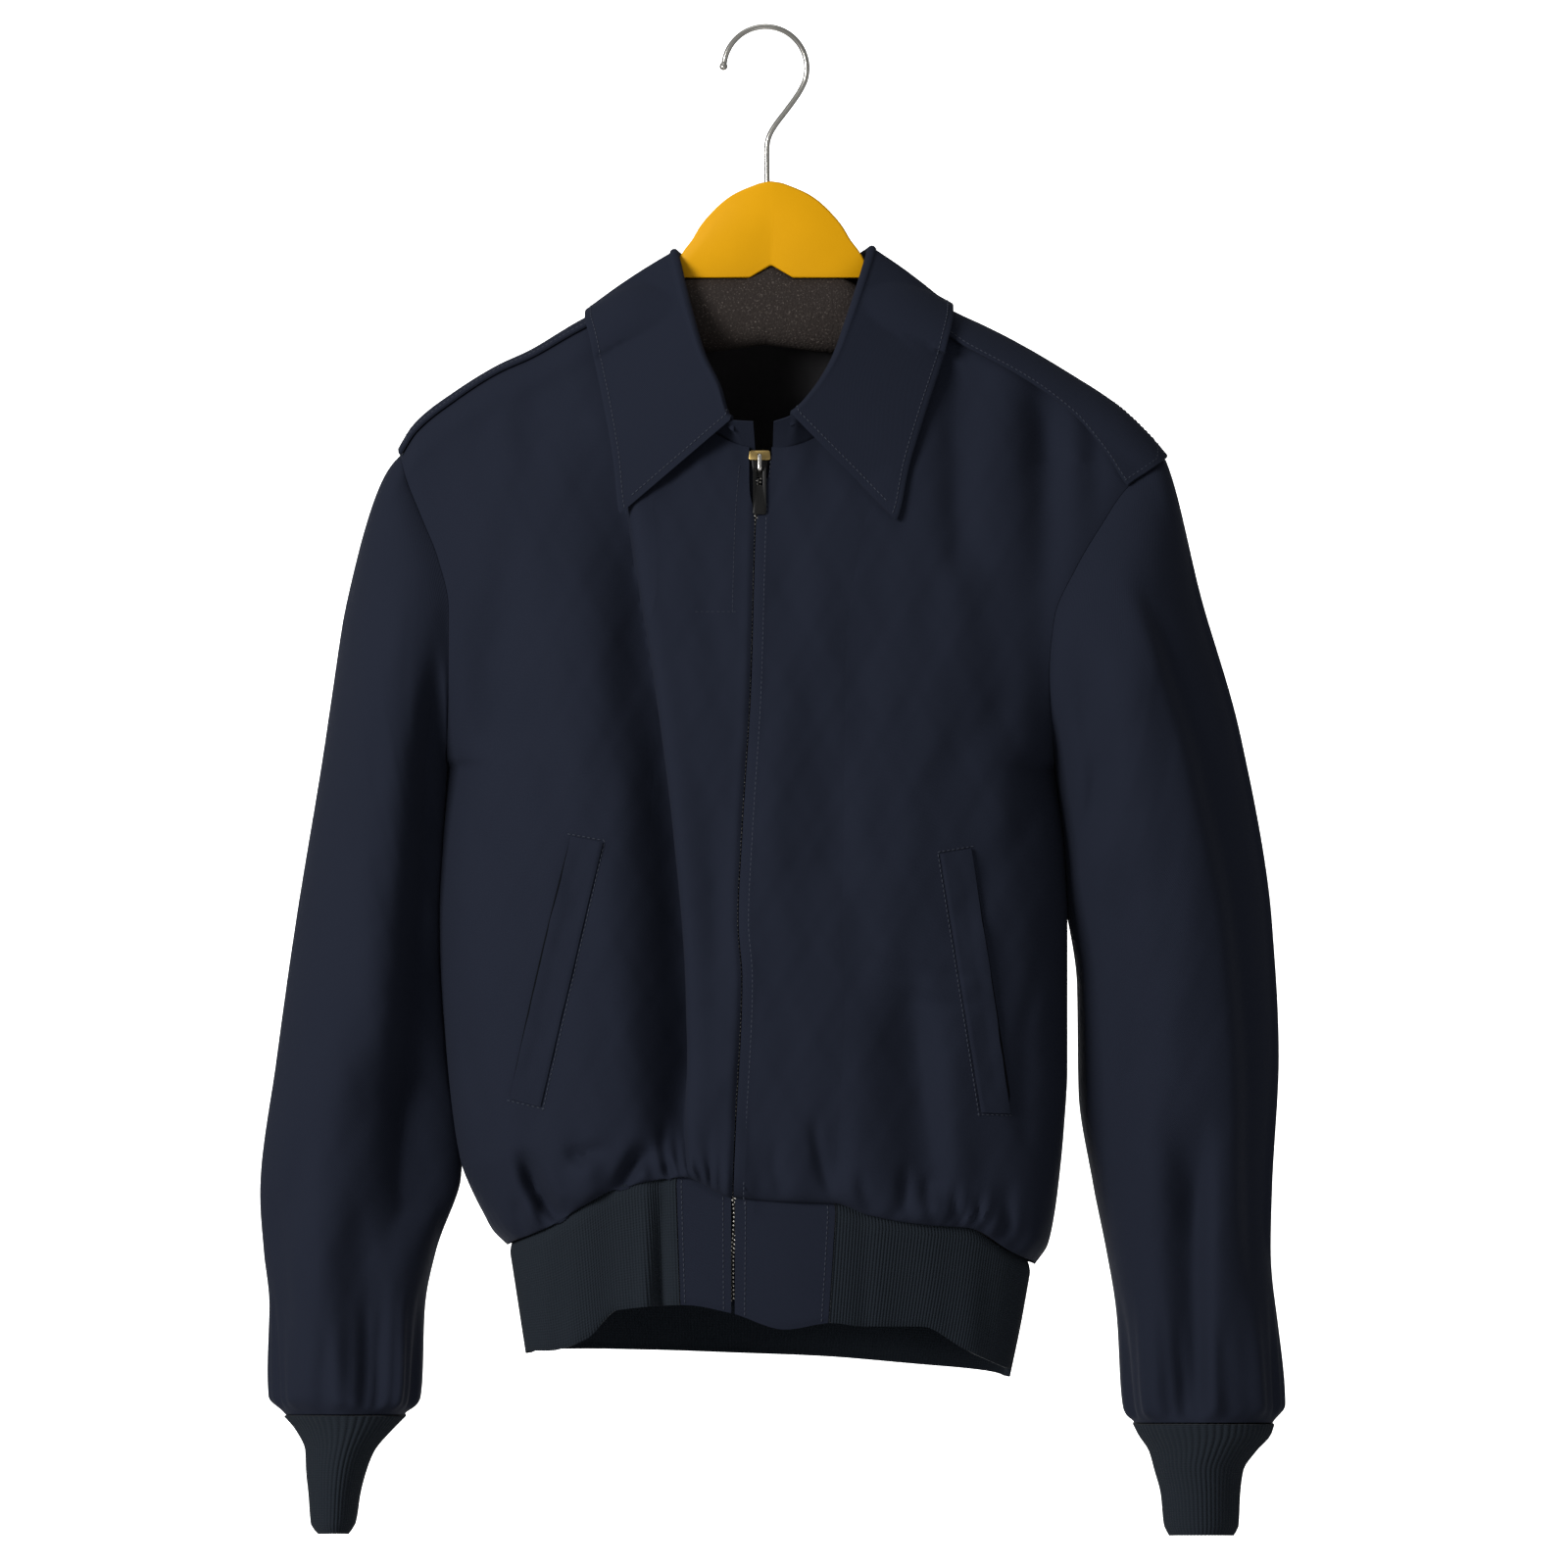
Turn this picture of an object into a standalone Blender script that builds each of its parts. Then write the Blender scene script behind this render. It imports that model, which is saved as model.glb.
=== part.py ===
"""Utility jacket on its hanger.

The jacket hangs from a wire hook: two fronts over a zip, one back, set-in sleeves, a turned-down
collar, shoulder straps, slanted welts, a ribbed waistband and ribbed cuffs. Every piece of cloth is a
thin wall of its own, lofted through sections that functions work out from the tables below.

Working units are millimetres, turned into metres where each mesh is made. The origin is the inner top
of the hook, +Z is up and the front faces -Y. Side -1 is the viewer's left, side +1 the right.
Sizes were read as seen from VIEW_DISTANCE away, in the plane y = 0. What lies nearer looks larger, so
true_place draws every point in front of that plane toward the line of sight.
"""
import math

import bmesh
import bpy
import numpy as np

MM = 0.001
VIEW_DISTANCE = 3000.0
VIEW_X = 11.4
VIEW_Z = -462.0

CLOTH = 1.6
KNIT = 1.8
COLLAR_CLOTH = 2.0
SEAM = 0.45
SLEEVE_SEAM = 1.3
SEAM_FADE = 0.14
BAND_SEAM = 1.3
LAID_ON = 0.5
SLEEVE_GAP = 2.2

CENTRE_X = 2.4
NECK_HALF = 73.0
NECK_TOP_Z = -162.0
NECK_FRONT_DROP = 94.0
NECK_BACK_DROP = 22.0
SHOULDER_ROUND = {"front": 22.0, "back": 25.0}
PIT_Z = -450.0
PIT_CLEAR = 40.0
TIP_Z = {-1: -261.0, 1: -264.0}
SIDE_CURVE = 2.6
ARMHOLE_OPEN = 0.84
SIDE_SHIFT = -10.0
SHIFT_DROP = 150.0
HEM_ROUND = 14.0
HEM_BLEND = 420.0

ARMHOLE_TURNS = (0, 0.012, 0.03, 0.06, 0.11, 0.18, 0.25, 0.32, 0.39, 0.45, 0.5)
LOWER_ROWS = 5
NECK_TURNS = {"front": (0, 12, 25, 38, 50, 62, 72, 80, 86, 90), "back": (180, 162, 145, 130, 116, 105, 97, 90)}
PANEL_COLUMNS = 10
SLEEVE_ROWS = 15

GATHERS = 6
GATHER_HEIGHT = 1.8
GATHER_REACH = 50.0
SLEEVE_GATHERS = 8
SLEEVE_GATHER_HEIGHT = 2.0

BAND_RIBS = 144
CUFF_RIBS = 30
RIB_HEIGHT = 0.9

WIRE_RADIUS = 1.6
HOOK_RADIUS = 25.4
HOOK_X = 0.0
HOOK_Z = -HOOK_RADIUS + WIRE_RADIUS
LEG_X = 1.2


def table(names, *rows):
    """Rows of numbers as columns that are read by name."""
    return dict(zip(names.split(), np.array(rows, float).T))


def smooth(places, values, at):
    """A smooth curve through values at places. It never overshoots, and it is flat past its ends."""
    places = np.asarray(places, float)
    values = np.asarray(values, float)
    step = np.diff(places)
    slope = np.diff(values) / step
    tangent = np.concatenate(([slope[0]], np.zeros(len(places) - 2), [slope[-1]]))
    for i in range(1, len(places) - 1):
        if slope[i - 1] * slope[i] > 0:
            tangent[i] = 2 * slope[i - 1] * slope[i] / (slope[i - 1] + slope[i])
    at = np.clip(at, places[0], places[-1])
    i = np.clip(np.searchsorted(places, at, side="right") - 1, 0, len(places) - 2)
    s = (at - places[i]) / step[i]
    rise = values[i] * (1 + 2 * s) * (1 - s) ** 2 + values[i + 1] * s * s * (3 - 2 * s)
    return rise + step[i] * s * (1 - s) * (tangent[i] * (1 - s) - tangent[i + 1] * s)


def column(tab, key, name, at):
    """The smooth value of one named column of a table."""
    return smooth(tab[key], tab[name], at)


def ease(s):
    """A soft step from 0 to 1."""
    s = np.clip(s, 0.0, 1.0)
    return s * s * (3 - 2 * s)


def true_place(points):
    """Points as seen, drawn in toward the line of sight where they stand in front of y = 0."""
    points = np.array(points, float)
    near = 1 + np.minimum(points[..., 1], 0.0) / VIEW_DISTANCE
    points[..., 0] = VIEW_X + (points[..., 0] - VIEW_X) * near
    points[..., 2] = VIEW_Z + (points[..., 2] - VIEW_Z) * near
    return points


# Body outline
# The edge of the body on each side: the armhole above PIT_Z, the side below it.
EDGE = {
    -1: table(
        "z x",
        (-744, -158), (-735, -167), (-726, -172), (-708, -181), (-695, -186), (-663, -191.5), (-617, -196),
        (-572, -199), (-536, -200), (-499, -198.5), (-447, -195.5), (-404, -194), (-354, -194),
        (-324, -200.5), (-300, -210), (-275, -220), (-261, -223.8),
    ),
    1: table(
        "z x",
        (-756, 165), (-744, 173), (-726, 177), (-708, 179.5), (-672, 183), (-636, 185), (-548, 185),
        (-499, 183), (-447, 177), (-394, 174), (-360, 177), (-330, 190), (-303, 206), (-280, 222),
        (-270, 236), (-264, 245.4),
    ),
}
ZIP_LINE = table(
    "z x",
    (-800, -20), (-756, -21), (-726, -18.6), (-714, -19.8), (-678, -18.6), (-582, -14.4), (-546, -16.8),
    (-492, -14.4), (-402, -9), (-300, -6), (-261, -3),
)
SHOULDER = {
    -1: table(
        "out z",
        (0, -155), (75, -162), (112, -181), (142, -198.5), (163, -208), (191, -226), (213, -244),
        (223.8, -261),
    ),
    1: table(
        "out z",
        (0, -155), (75, -160), (125, -181), (161, -198.5), (190, -216), (216, -234), (235, -252),
        (245.4, -264),
    ),
}
# How much deeper than the round of the shoulder the cloth stands, by the drop below the shoulder line.
SWELL = table(
    "drop front back",
    (0, 0, 0), (22, 2, 3), (45, 9, 13), (68, 18, 23), (100, 30, 35), (150, 43, 46), (200, 52, 54),
    (260, 60, 59), (340, 65, 62), (420, 67, 63), (500, 66, 62), (600, 64, 60),
)
# The seam between cloth and waistband, and the waistband's lower edge, by x.
HEM = {
    "front": table(
        "x top bottom",
        (-158, -744, -809), (-133, -734, -809), (-110, -720, -802), (-90, -710, -784), (-50, -703, -781),
        (-21, -715, -786), (12, -718, -796), (41, -719, -792), (60, -726, -794), (95, -732, -794),
        (122, -734, -808), (149, -749, -820), (165, -756, -825),
    ),
    "back": table(
        "x top bottom",
        (-158, -744, -809), (-120, -746, -813), (-40, -750, -817), (40, -752, -820), (110, -755, -824),
        (165, -756, -825),
    ),
}
BAND_DEPTH = {"front": 79.0, "back": 81.0}
BAND_TAPER = 4.0

# Folds in the body: x at the top and at the bottom, the heights, half widths to each side, depth.
FOLDS = {
    "front": table(
        "x_top x_low z_top z_low left right depth",
        (-78, -44, -290, -688, 36, 9, 15), (-166, -166, -300, -440, 20, 16, 5),
        (168, 174, -262, -420, 16, 20, 5), (84, 104, -560, -716, 20, 14, 7),
        (44, 43, -640, -704, 12, 8, 5), (-118, -112, -650, -712, 10, 8, 5), (-92, -96, -650, -694, 8, 10, 4),
        (60, 40, -330, -520, 26, 26, 3), (136, 132, -640, -726, 12, 14, 5), (-30, -34, -430, -640, 12, 10, 3),
    ),
    "back": table(
        "x_top x_low z_top z_low left right depth",
        (-96, -70, -260, -700, 30, 18, 8), (92, 76, -270, -730, 18, 30, 8), (-12, 8, -420, -734, 22, 18, 6),
        (-132, -124, -560, -728, 14, 12, 6), (130, 128, -560, -736, 12, 14, 6), (36, 44, -640, -736, 10, 12, 4),
        (-44, -36, -640, -734, 12, 10, 4),
    ),
}

# Sleeve sections: the outer and inner edge as seen, the middle's y and half the depth from front to back.
SLEEVE = {
    -1: table(
        "along x_out z_out x_in z_in y half",
        (0.00, -224, -261, -193, -450, -8, 46), (0.10, -243, -284, -191, -462, -4, 62),
        (0.22, -257, -352, -188, -494, 2, 70), (0.38, -271.5, -446, -187, -545, 8, 72),
        (0.54, -288, -544, -187, -600, 12, 69), (0.68, -300.5, -632, -185, -660, 12, 64),
        (0.79, -310.5, -712, -187, -704, 10, 59), (0.86, -308, -749, -202, -748, 8, 56),
        (0.92, -303.5, -785, -209.5, -785, 6, 54), (1.00, -302, -837, -213, -839, 4, 50),
        (1.04, -294, -848, -221, -848, 4, 43),
    ),
    1: table(
        "along x_out z_out x_in z_in y half",
        (0.00, 245, -264, 176, -450, -8, 46), (0.10, 254, -288, 180, -462, -6, 62),
        (0.22, 265, -340, 181, -484, -4, 70), (0.38, 291, -432, 183, -530, 0, 71),
        (0.54, 310.5, -545, 191, -586, 4, 68), (0.68, 315, -630, 192, -650, 6, 63),
        (0.79, 311, -708, 201, -708, 6, 58), (0.86, 310, -748, 209, -748, 5, 56),
        (0.92, 313, -790, 216, -790, 4, 53), (1.00, 316, -842, 221, -846, 3, 49),
        (1.04, 311, -853, 226, -853, 3, 45),
    ),
}
# Folds of the front and back of each sleeve: place across from the inner edge -1 to the outer edge 1.
SLEEVE_FOLDS = {
    -1: table(
        "from_along to_along across_top across_low inward outward depth face",
        (0.10, 0.80, -0.25, -0.45, 0.30, 0.22, 8, -1), (0.62, 1.00, -0.30, -0.05, 0.45, 0.20, 9, -1),
        (0.70, 0.86, 0.55, 0.75, 0.16, 0.16, 6, -1), (0.72, 1.02, 0.90, 0.70, 0.10, 0.22, 7, -1),
        (0.15, 0.70, 0.10, -0.10, 0.30, 0.30, 8, 1), (0.55, 1.00, 0.35, 0.10, 0.30, 0.30, 9, 1),
    ),
    1: table(
        "from_along to_along across_top across_low inward outward depth face",
        (0.06, 0.34, -0.25, -0.62, 0.22, 0.30, 7, -1), (0.16, 0.86, 0.50, 0.74, 0.07, 0.40, 8, -1),
        (0.74, 1.02, 0.22, -0.16, 0.30, 0.12, 11, -1), (0.36, 0.72, -0.45, -0.50, 0.22, 0.22, 4, -1),
        (0.15, 0.70, -0.10, 0.10, 0.30, 0.30, 8, 1), (0.55, 1.00, -0.35, -0.10, 0.30, 0.30, 9, 1),
    ),
}
CUFF = {
    -1: table(
        "z x_out x_in y half",
        (-921, -273, -256, 2, 36), (-915, -277.5, -252, 2, 38), (-897, -279, -249, 2, 38),
        (-882, -280.5, -245, 2, 38), (-870, -281, -240, 2, 38), (-857, -287, -229, 3, 40),
        (-849, -294, -221, 4, 43),
    ),
    1: table(
        "z x_out x_in y half",
        (-922, 286, 248, 1, 36), (-916, 289, 245, 1, 37), (-897, 290, 243, 1, 37),
        (-882, 292, 239, 1, 38), (-870, 300, 235.5, 1, 40), (-860, 309, 229, 2, 43),
        (-854, 311, 226, 3, 45),
    ),
}


def make(name, vertices, faces, material, shift=(0, 0, 0)):
    """A mesh object in the jacket's collection. Points are as seen, in millimetres."""
    mesh = bpy.data.meshes.new(name)
    true = true_place(vertices) - np.array(shift, float)
    mesh.from_pydata((true * MM).tolist(), [], faces)
    shell = bmesh.new()
    shell.from_mesh(mesh)
    bmesh.ops.recalc_face_normals(shell, faces=shell.faces)
    shell.to_mesh(mesh)
    shell.free()
    mesh.shade_smooth()
    mesh.set_sharp_from_angle(angle=math.radians(40))
    return add(bpy.data.objects.new(name, mesh), material, shift)


def add(thing, material, shift=(0, 0, 0)):
    """Gives an object its material and place, and puts it in the jacket's collection."""
    thing.data.materials.append(material)
    thing.location = [c * MM for c in shift]
    JACKET.objects.link(thing)
    return thing


def paint(name, colour, roughness, metallic=0.0):
    """A Principled material."""
    material = bpy.data.materials.new(name)
    material.use_nodes = True
    surface = material.node_tree.nodes["Principled BSDF"]
    surface.inputs["Base Color"].default_value = (*colour, 1.0)
    surface.inputs["Roughness"].default_value = roughness
    surface.inputs["Metallic"].default_value = metallic
    return material


def normals(surface, rows, columns):
    """Unit normals of a surface function, away from the garment's inside."""
    reach = 1e-3
    across = surface(rows, columns + reach) - surface(rows, columns - reach)
    along = surface(rows + reach, columns) - surface(rows - reach, columns)
    normal = np.cross(across, along)
    return normal / np.maximum(np.linalg.norm(normal, axis=-1, keepdims=True), 1e-9)


def edge_faces(outer, inner):
    """Triangles between an edge line of outer points and a coarser line of inner points."""
    faces = []
    per = (len(outer) - 1) // (len(inner) - 1)
    for j in range(len(inner) - 1):
        start = j * per
        middle = start + per // 2
        for i in range(start, start + per):
            faces.append((outer[i], outer[i + 1], inner[j] if i < middle else inner[j + 1]))
        faces.append((outer[middle], inner[j + 1], inner[j]))
    return faces


def wall(name, outer, inner, material, tube=False, shift=(0, 0, 0)):
    """A closed wall between a grid of outer points and a grid of inner points, as fine or coarser."""
    rows, fine = outer.shape[:2]
    plain = inner.shape[1]
    vertices = np.concatenate((outer.reshape(-1, 3), inner.reshape(-1, 3)))
    first = np.arange(rows * fine).reshape(rows, fine)
    second = rows * fine + np.arange(rows * plain).reshape(rows, plain)
    if tube:
        first = np.hstack((first, first[:, :1]))
        second = np.hstack((second, second[:, :1]))
    faces = []
    for grid in (first, second):
        for r in range(rows - 1):
            for c in range(grid.shape[1] - 1):
                faces.append((grid[r, c], grid[r, c + 1], grid[r + 1, c + 1], grid[r + 1, c]))
    faces += edge_faces(first[0], second[0])
    faces += edge_faces(first[-1], second[-1])
    if not tube:
        for r in range(rows - 1):
            faces.append((first[r, 0], first[r + 1, 0], second[r + 1, 0], second[r, 0]))
            faces.append((first[r, -1], first[r + 1, -1], second[r + 1, -1], second[r, -1]))
    faces = [tuple(int(v) for v in face) for face in faces]
    return make(name, vertices, faces, material, shift)


def sheet(name, surface, rows, columns, thickness, material, out=0.0, tube=False):
    """A wall on a surface function, moved out from it by a distance."""
    rows, columns = np.meshgrid(rows, columns, indexing="ij")
    points = surface(rows, columns)
    normal = normals(surface, rows, columns)
    return wall(name, points + normal * out, points + normal * (out - thickness), material, tube)


# Where the fronts part to let the slider through, beside the closed part of the zip.
ZIP_OPENING = table("z half", (-800, 1.6), (-765, 1.2), (-730, 0.5), (-310, 0.5), (-290, 4.5), (-262, 7.5))
# The waistband's edge on each side, by height from its bottom 0 to its top 1.
BAND_EDGE = {
    -1: table("height x", (0, -146), (0.5, -151), (1, -156)),
    1: table("height x", (0, 149), (0.5, 156), (1, 162)),
}
BAND_FOLDS = table("x width depth", (-66, 7, 5), (-100, 16, 3), (84, 18, 3), (112, 10, 2))
TAB_LEFT = (-54.6, -21.0)
TAB_RIGHT = (-18.6, 43.0)
BAND_ROWS = 3

# The collar from its front end 0 to the centre back 1: the turn round the neck in degrees, the fold line,
# the outer edge and how far that edge stands off the body.
COLLAR = {
    -1: table(
        "along turn x_fold y_fold z_fold x_edge y_edge z_edge lift",
        (-0.10, 4, -9, -63, -241, -80, -61, -292, 4), (0.00, 8, -21.6, -63, -240, -88.8, -62, -296.4, 4),
        (0.14, 25, -30, -58, -219, -93.5, -56, -262, 4.4), (0.28, 42, -40, -50, -200, -100, -44, -226, 5.8),
        (0.42, 60, -47.5, -38, -178, -106.5, -28, -196, 7.8), (0.55, 80, -55.4, -19, -150, -111, -14, -178, 8.3),
        (0.63, 95, -58.6, -2, -137, -110.5, 4, -171.5, 8.3), (0.74, 115, -51, 18, -141, -100, 34, -192, 7),
        (0.87, 145, -28, 31, -148, -58, 45, -208, 5), (1.00, 180, 2.4, 36, -150, 2.4, 50, -211, 5),
    ),
    1: table(
        "along turn x_fold y_fold z_fold x_edge y_edge z_edge lift",
        (-0.10, 4, 8, -63, -239, 72, -61, -296, 4), (0.00, 8, 16.5, -63, -234, 79.8, -62, -300, 4),
        (0.14, 25, 31, -58, -222, 88.5, -56, -266, 4.4), (0.28, 42, 43.5, -50, -203, 99, -44, -232, 5.8),
        (0.42, 60, 53.5, -38, -178, 109.5, -28, -200, 7.8), (0.55, 80, 63, -19, -151, 115.5, -14, -179, 8.3),
        (0.63, 95, 68, -2, -135, 115.5, 4, -170.5, 8.3), (0.74, 115, 57, 18, -140, 104, 34, -191, 7),
        (0.87, 145, 31, 31, -148, 60, 45, -208, 5), (1.00, 180, 2.4, 36, -150, 2.4, 50, -211, 5),
    ),
}
COLLAR_PLACES = (0, 0.07, 0.14, 0.21, 0.28, 0.35, 0.42, 0.49, 0.55, 0.59, 0.625, 0.66, 0.7, 0.76, 0.84, 0.92, 1)
COLLAR_ROWS = 5
STAND_INSIDE = 3.5
STAND_CLOTH = 1.5
STAND_RAISE = 1.5

# Shoulder straps: from under the collar to the armhole, front and back edge along the round of the shoulder.
STRAP = {
    -1: table("out front back", (98, -14, 32), (135, -12, 36), (190, -12, 38), (224, -12, 38)),
    1: table(
        "out front back", (103, -24, 26), (125, -28, 22), (160, -30, 17), (190, -34, 12), (209, -45, 4),
        (222, -54, 0), (246, -54, -2),
    ),
}
STRAP_END_GAP = 1.6
STRAP_CLOTH = 2.0
STRAP_RAISE = 1.3

# Welts: x and z of the corners as seen, inner edge first.
WELT = {
    -1: {"top_in": (-99.6, -498), "top_out": (-118.8, -494), "low_in": (-137.4, -659.5), "low_out": (-156, -654.5)},
    1: {"top_in": (106.8, -505), "top_out": (125.4, -501.5), "low_in": (132, -663), "low_out": (148.8, -663.5)},
}
WELT_CLOTH = 1.4

HANGER_CENTRE_X = 3.6
CROWN = table(
    "out top", (0, -93), (12, -94.3), (24, -99.5), (37, -109.5), (46, -122.5), (53, -136), (58.2, -145.6),
)
CROWN_BOTTOM_Z = -151.5
CROWN_THICK = 12.0
CROWN_RIDGE = 2.0
NOTCH_HALF = 13.0
NOTCH_RISE = 7.5
HOOK_BORE_DEPTH = 6.0
BORE_CLEAR = 0.5
# The foam arms by distance from the hanger's centre: top and bottom at the neck, height further out.
ARM_END = {-1: 209.0, 1: 226.0}
ARM = table(
    "out top height half", (0, -152.2, 41, 16), (46, -152.4, 46, 16), (58, -158, 44, 15.5),
    (68, -166.5, 40, 15), (80, -171, 40, 15), (140, -204, 38, 15), (226, -258, 28, 13),
)
ARM_CLEAR = 1.1

ZIP_TOP_Z = -259.0
ZIP_LOW_Z = -781.0
ZIP_HEM_Z = -716.0
TAPE_HALF = 11.0
TAPE_CLOTH = 1.0
TAPE_BEHIND = CLOTH + 1.7
SLIDER_Z = -267.0
SLIDER_WIDE = 11.0
SLIDER_LONG = 17.0
SLIDER_THICK = 2.6
BRIDGE_WIDE = 2.4
BRIDGE_HALF = 5.2
BRIDGE_TALL = 4.6
BRIDGE_BAR = 1.5
TAB_LONG = 31.0
TAB_WIDE = 8.0
TAB_THICK = 1.5
TAB_BAR = 1.8
TAB_SLOT_LONG = 11.0
TAB_SLOT_WIDE = 3.6


# Body surface
def edge_x(side, z):
    return column(EDGE[side], "z", "x", z)


def zip_x(z):
    return column(ZIP_LINE, "z", "x", z)


def shoulder_z(side, x):
    return column(SHOULDER[side], "out", "z", side * x)


def fullness(face, drop, lift=0.0):
    """How far the cloth stands from the middle plane, by the drop below the raised shoulder line."""
    radius = SHOULDER_ROUND[face] + lift
    near = np.clip(drop, 0.0, radius)
    return np.sqrt(2 * radius * near - near * near) + column(SWELL, "drop", face, drop - lift)


def armhole_share(side, z):
    """The share of the full depth at the body's edge: 0 below the armpit, opening toward the tip."""
    rise = np.clip((z - PIT_Z) / (TIP_Z[side] - PIT_Z), 0.0, 1.0)
    return ARMHOLE_OPEN * np.sqrt(1 - (1 - rise) ** 2)


def middle_y(z):
    """The body's widest line leans forward below the shoulders."""
    return SIDE_SHIFT * ease((TIP_Z[-1] - z) / SHIFT_DROP)


def fold_depth(face, x, z):
    """How far the folds press the cloth in."""
    total = 0.0
    for x_top, x_low, z_top, z_low, left, right, depth in zip(*FOLDS[face].values()):
        down = np.clip((z_top - z) / (z_top - z_low), 0.0, 1.0)
        away = x - (x_top + (x_low - x_top) * down)
        width = np.where(away < 0, left, right)
        swing = ease((z_top - z) / 70) * (1 - ease((z_low + 12 - z) / 24))
        total = total + depth * swing * np.exp(-(away / width) ** 2)
    return total


QUARTER_X = np.sin(np.linspace(0, math.pi / 2, 200)) ** (2 / SIDE_CURVE)
QUARTER_Y = np.cos(np.linspace(0, math.pi / 2, 200)) ** (2 / SIDE_CURVE)
QUARTER = np.concatenate(([0.0], np.cumsum(np.hypot(np.diff(QUARTER_X) * 185, np.diff(QUARTER_Y) * 85))))
QUARTER = QUARTER / QUARTER[-1]


def across_at(share):
    """Place across a quarter of the body, 0 to 1, for a share of the way along its curve."""
    return np.interp(share, QUARTER, QUARTER_X)


def share_at(across):
    return np.interp(across, QUARTER_X, QUARTER)


def half_edge(face, side, across, z):
    """The x of the body's edge that a place across counts toward. Toward the hem it follows the hem's dip."""
    hem_edge = EDGE[side]["z"][0]
    centre = zip_x(hem_edge)
    x_hem = centre + (BAND_EDGE[side]["x"][-1] - centre) * across
    rise = column(HEM[face], "x", "top", x_hem) - hem_edge
    height = np.clip((z - hem_edge - rise) / HEM_BLEND, 0.0, 1.0)
    return edge_x(side, z - rise * (1 - height) ** 3)


def across_of(face, side, x, z):
    """The place across the body, 0 at the zip and 1 at the edge, of a point on a panel."""
    across = (x - zip_x(z)) / (edge_x(side, z) - zip_x(z))
    for _ in range(4):
        across = np.clip((x - zip_x(z)) / (half_edge(face, side, across, z) - zip_x(z)), 0.0, 1.0)
    return across


def depth_share(side, across, z):
    """The share of the full depth at a place across the body, and the round of the side there."""
    share = armhole_share(side, z)
    power = 1 / SIDE_CURVE + (1 - 1 / SIDE_CURVE) * (share / ARMHOLE_OPEN) ** 0.5
    round_side = np.clip(1 - across ** SIDE_CURVE, 0.0, 1.0) ** power
    return share + (1 - share) * round_side, round_side


def body_depth(face, side, x, z, lift=0.0):
    """The distance of the cloth's outer face, raised by a lift, from the body's middle plane."""
    share, round_side = depth_share(side, across_of(face, side, x, z), z)
    full = fullness(face, shoulder_z(side, x) + lift - z, lift)
    return full * share - fold_depth(face, x, z) * np.clip(round_side * 1.6, 0, 1)


def facing(face, distance, z):
    """The y of a distance in front of the middle plane, or behind it."""
    distance = np.maximum(distance, SEAM / 2)
    return middle_y(z) + (-distance if face == "front" else distance)


def neck_z(face, x):
    """The neckline's height."""
    inside = np.clip(1 - ((x - CENTRE_X) / NECK_HALF) ** 2, 0.0, 1.0)
    return NECK_TOP_Z - (NECK_FRONT_DROP if face == "front" else NECK_BACK_DROP) * np.sqrt(inside)


def panel(face, side):
    """The surface function of half the front or back: rows from hem 0 to top 1, columns outward."""

    def surface(rows, columns):
        rows = np.clip(rows, 0.0, 1.0)
        columns = np.clip(columns, 0.0, 1.0)
        across = across_at(columns)
        hem_edge = EDGE[side]["z"][0]
        zip_top = zip_x(TIP_Z[side])
        x_top = zip_top + (edge_x(side, TIP_Z[side]) - zip_top) * across
        x_hem = zip_x(hem_edge) + (BAND_EDGE[side]["x"][-1] - zip_x(hem_edge)) * across
        hem_z = column(HEM[face], "x", "top", x_hem)
        neck = np.abs(x_top - CENTRE_X) < NECK_HALF
        top_z = np.where(neck, neck_z(face, x_top), shoulder_z(side, x_top))
        z = hem_z + (top_z - hem_z) * rows
        x = zip_x(z) + (half_edge(face, side, across, z) - zip_x(z)) * across
        round_side = depth_share(side, across, z)[1]
        above = np.clip((z - hem_z) / HEM_ROUND, 0.0, 1.0)
        tuck = np.sqrt(1 - (1 - above) ** 2)
        hem_depth = BAND_DEPTH[face] * round_side
        gather = GATHER_HEIGHT * np.cos(2 * math.pi * GATHERS * columns) * np.minimum(round_side * 2, 1)
        gather = gather * np.clip(1 - (z - hem_z) / GATHER_REACH, 0.0, 1.0) ** 1.5
        depth = hem_depth + (body_depth(face, side, x, z) + gather - hem_depth) * tuck
        if face == "front":
            x = x + side * column(ZIP_OPENING, "z", "half", z) * (1 - across) ** 10
        return np.stack((x, facing(face, depth, z), z), axis=-1)

    return surface


def armhole_z(side, turns):
    """Heights round the armhole, from the tip at turn 0 to the pit at half a turn."""
    return (TIP_Z[side] + PIT_Z) / 2 + (TIP_Z[side] - PIT_Z) / 2 * np.cos(2 * math.pi * turns)


def armhole_rows(side, z):
    """Row places of heights at the body's edge."""
    hem = EDGE[side]["z"][0]
    return (z - hem) / (TIP_Z[side] - hem)


def body_rows(side):
    """Rows from hem to top. The upper ones meet the points of the sleeve's first ring."""
    upper = armhole_rows(side, armhole_z(side, np.array(ARMHOLE_TURNS[::-1])))
    hem_rows = np.array([0.0, 0.009, 0.028, 0.06, 0.11])
    lower = np.linspace(hem_rows[-1], upper[0], LOWER_ROWS)[1:-1]
    return np.concatenate((hem_rows, lower, upper))


def panel_columns(face, side):
    """Columns from the zip outward. Those at the neck meet the points of the collar's stand."""
    centre = zip_x(TIP_Z[side])
    x = CENTRE_X + side * NECK_HALF * np.sin(np.radians(NECK_TURNS[face]))
    across = (x - centre) / (edge_x(side, TIP_Z[side]) - centre)
    neck = share_at(across)
    neck[0] = 0.0
    return np.concatenate((neck, np.linspace(neck[-1], 1, PANEL_COLUMNS)[1:]))


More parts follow.
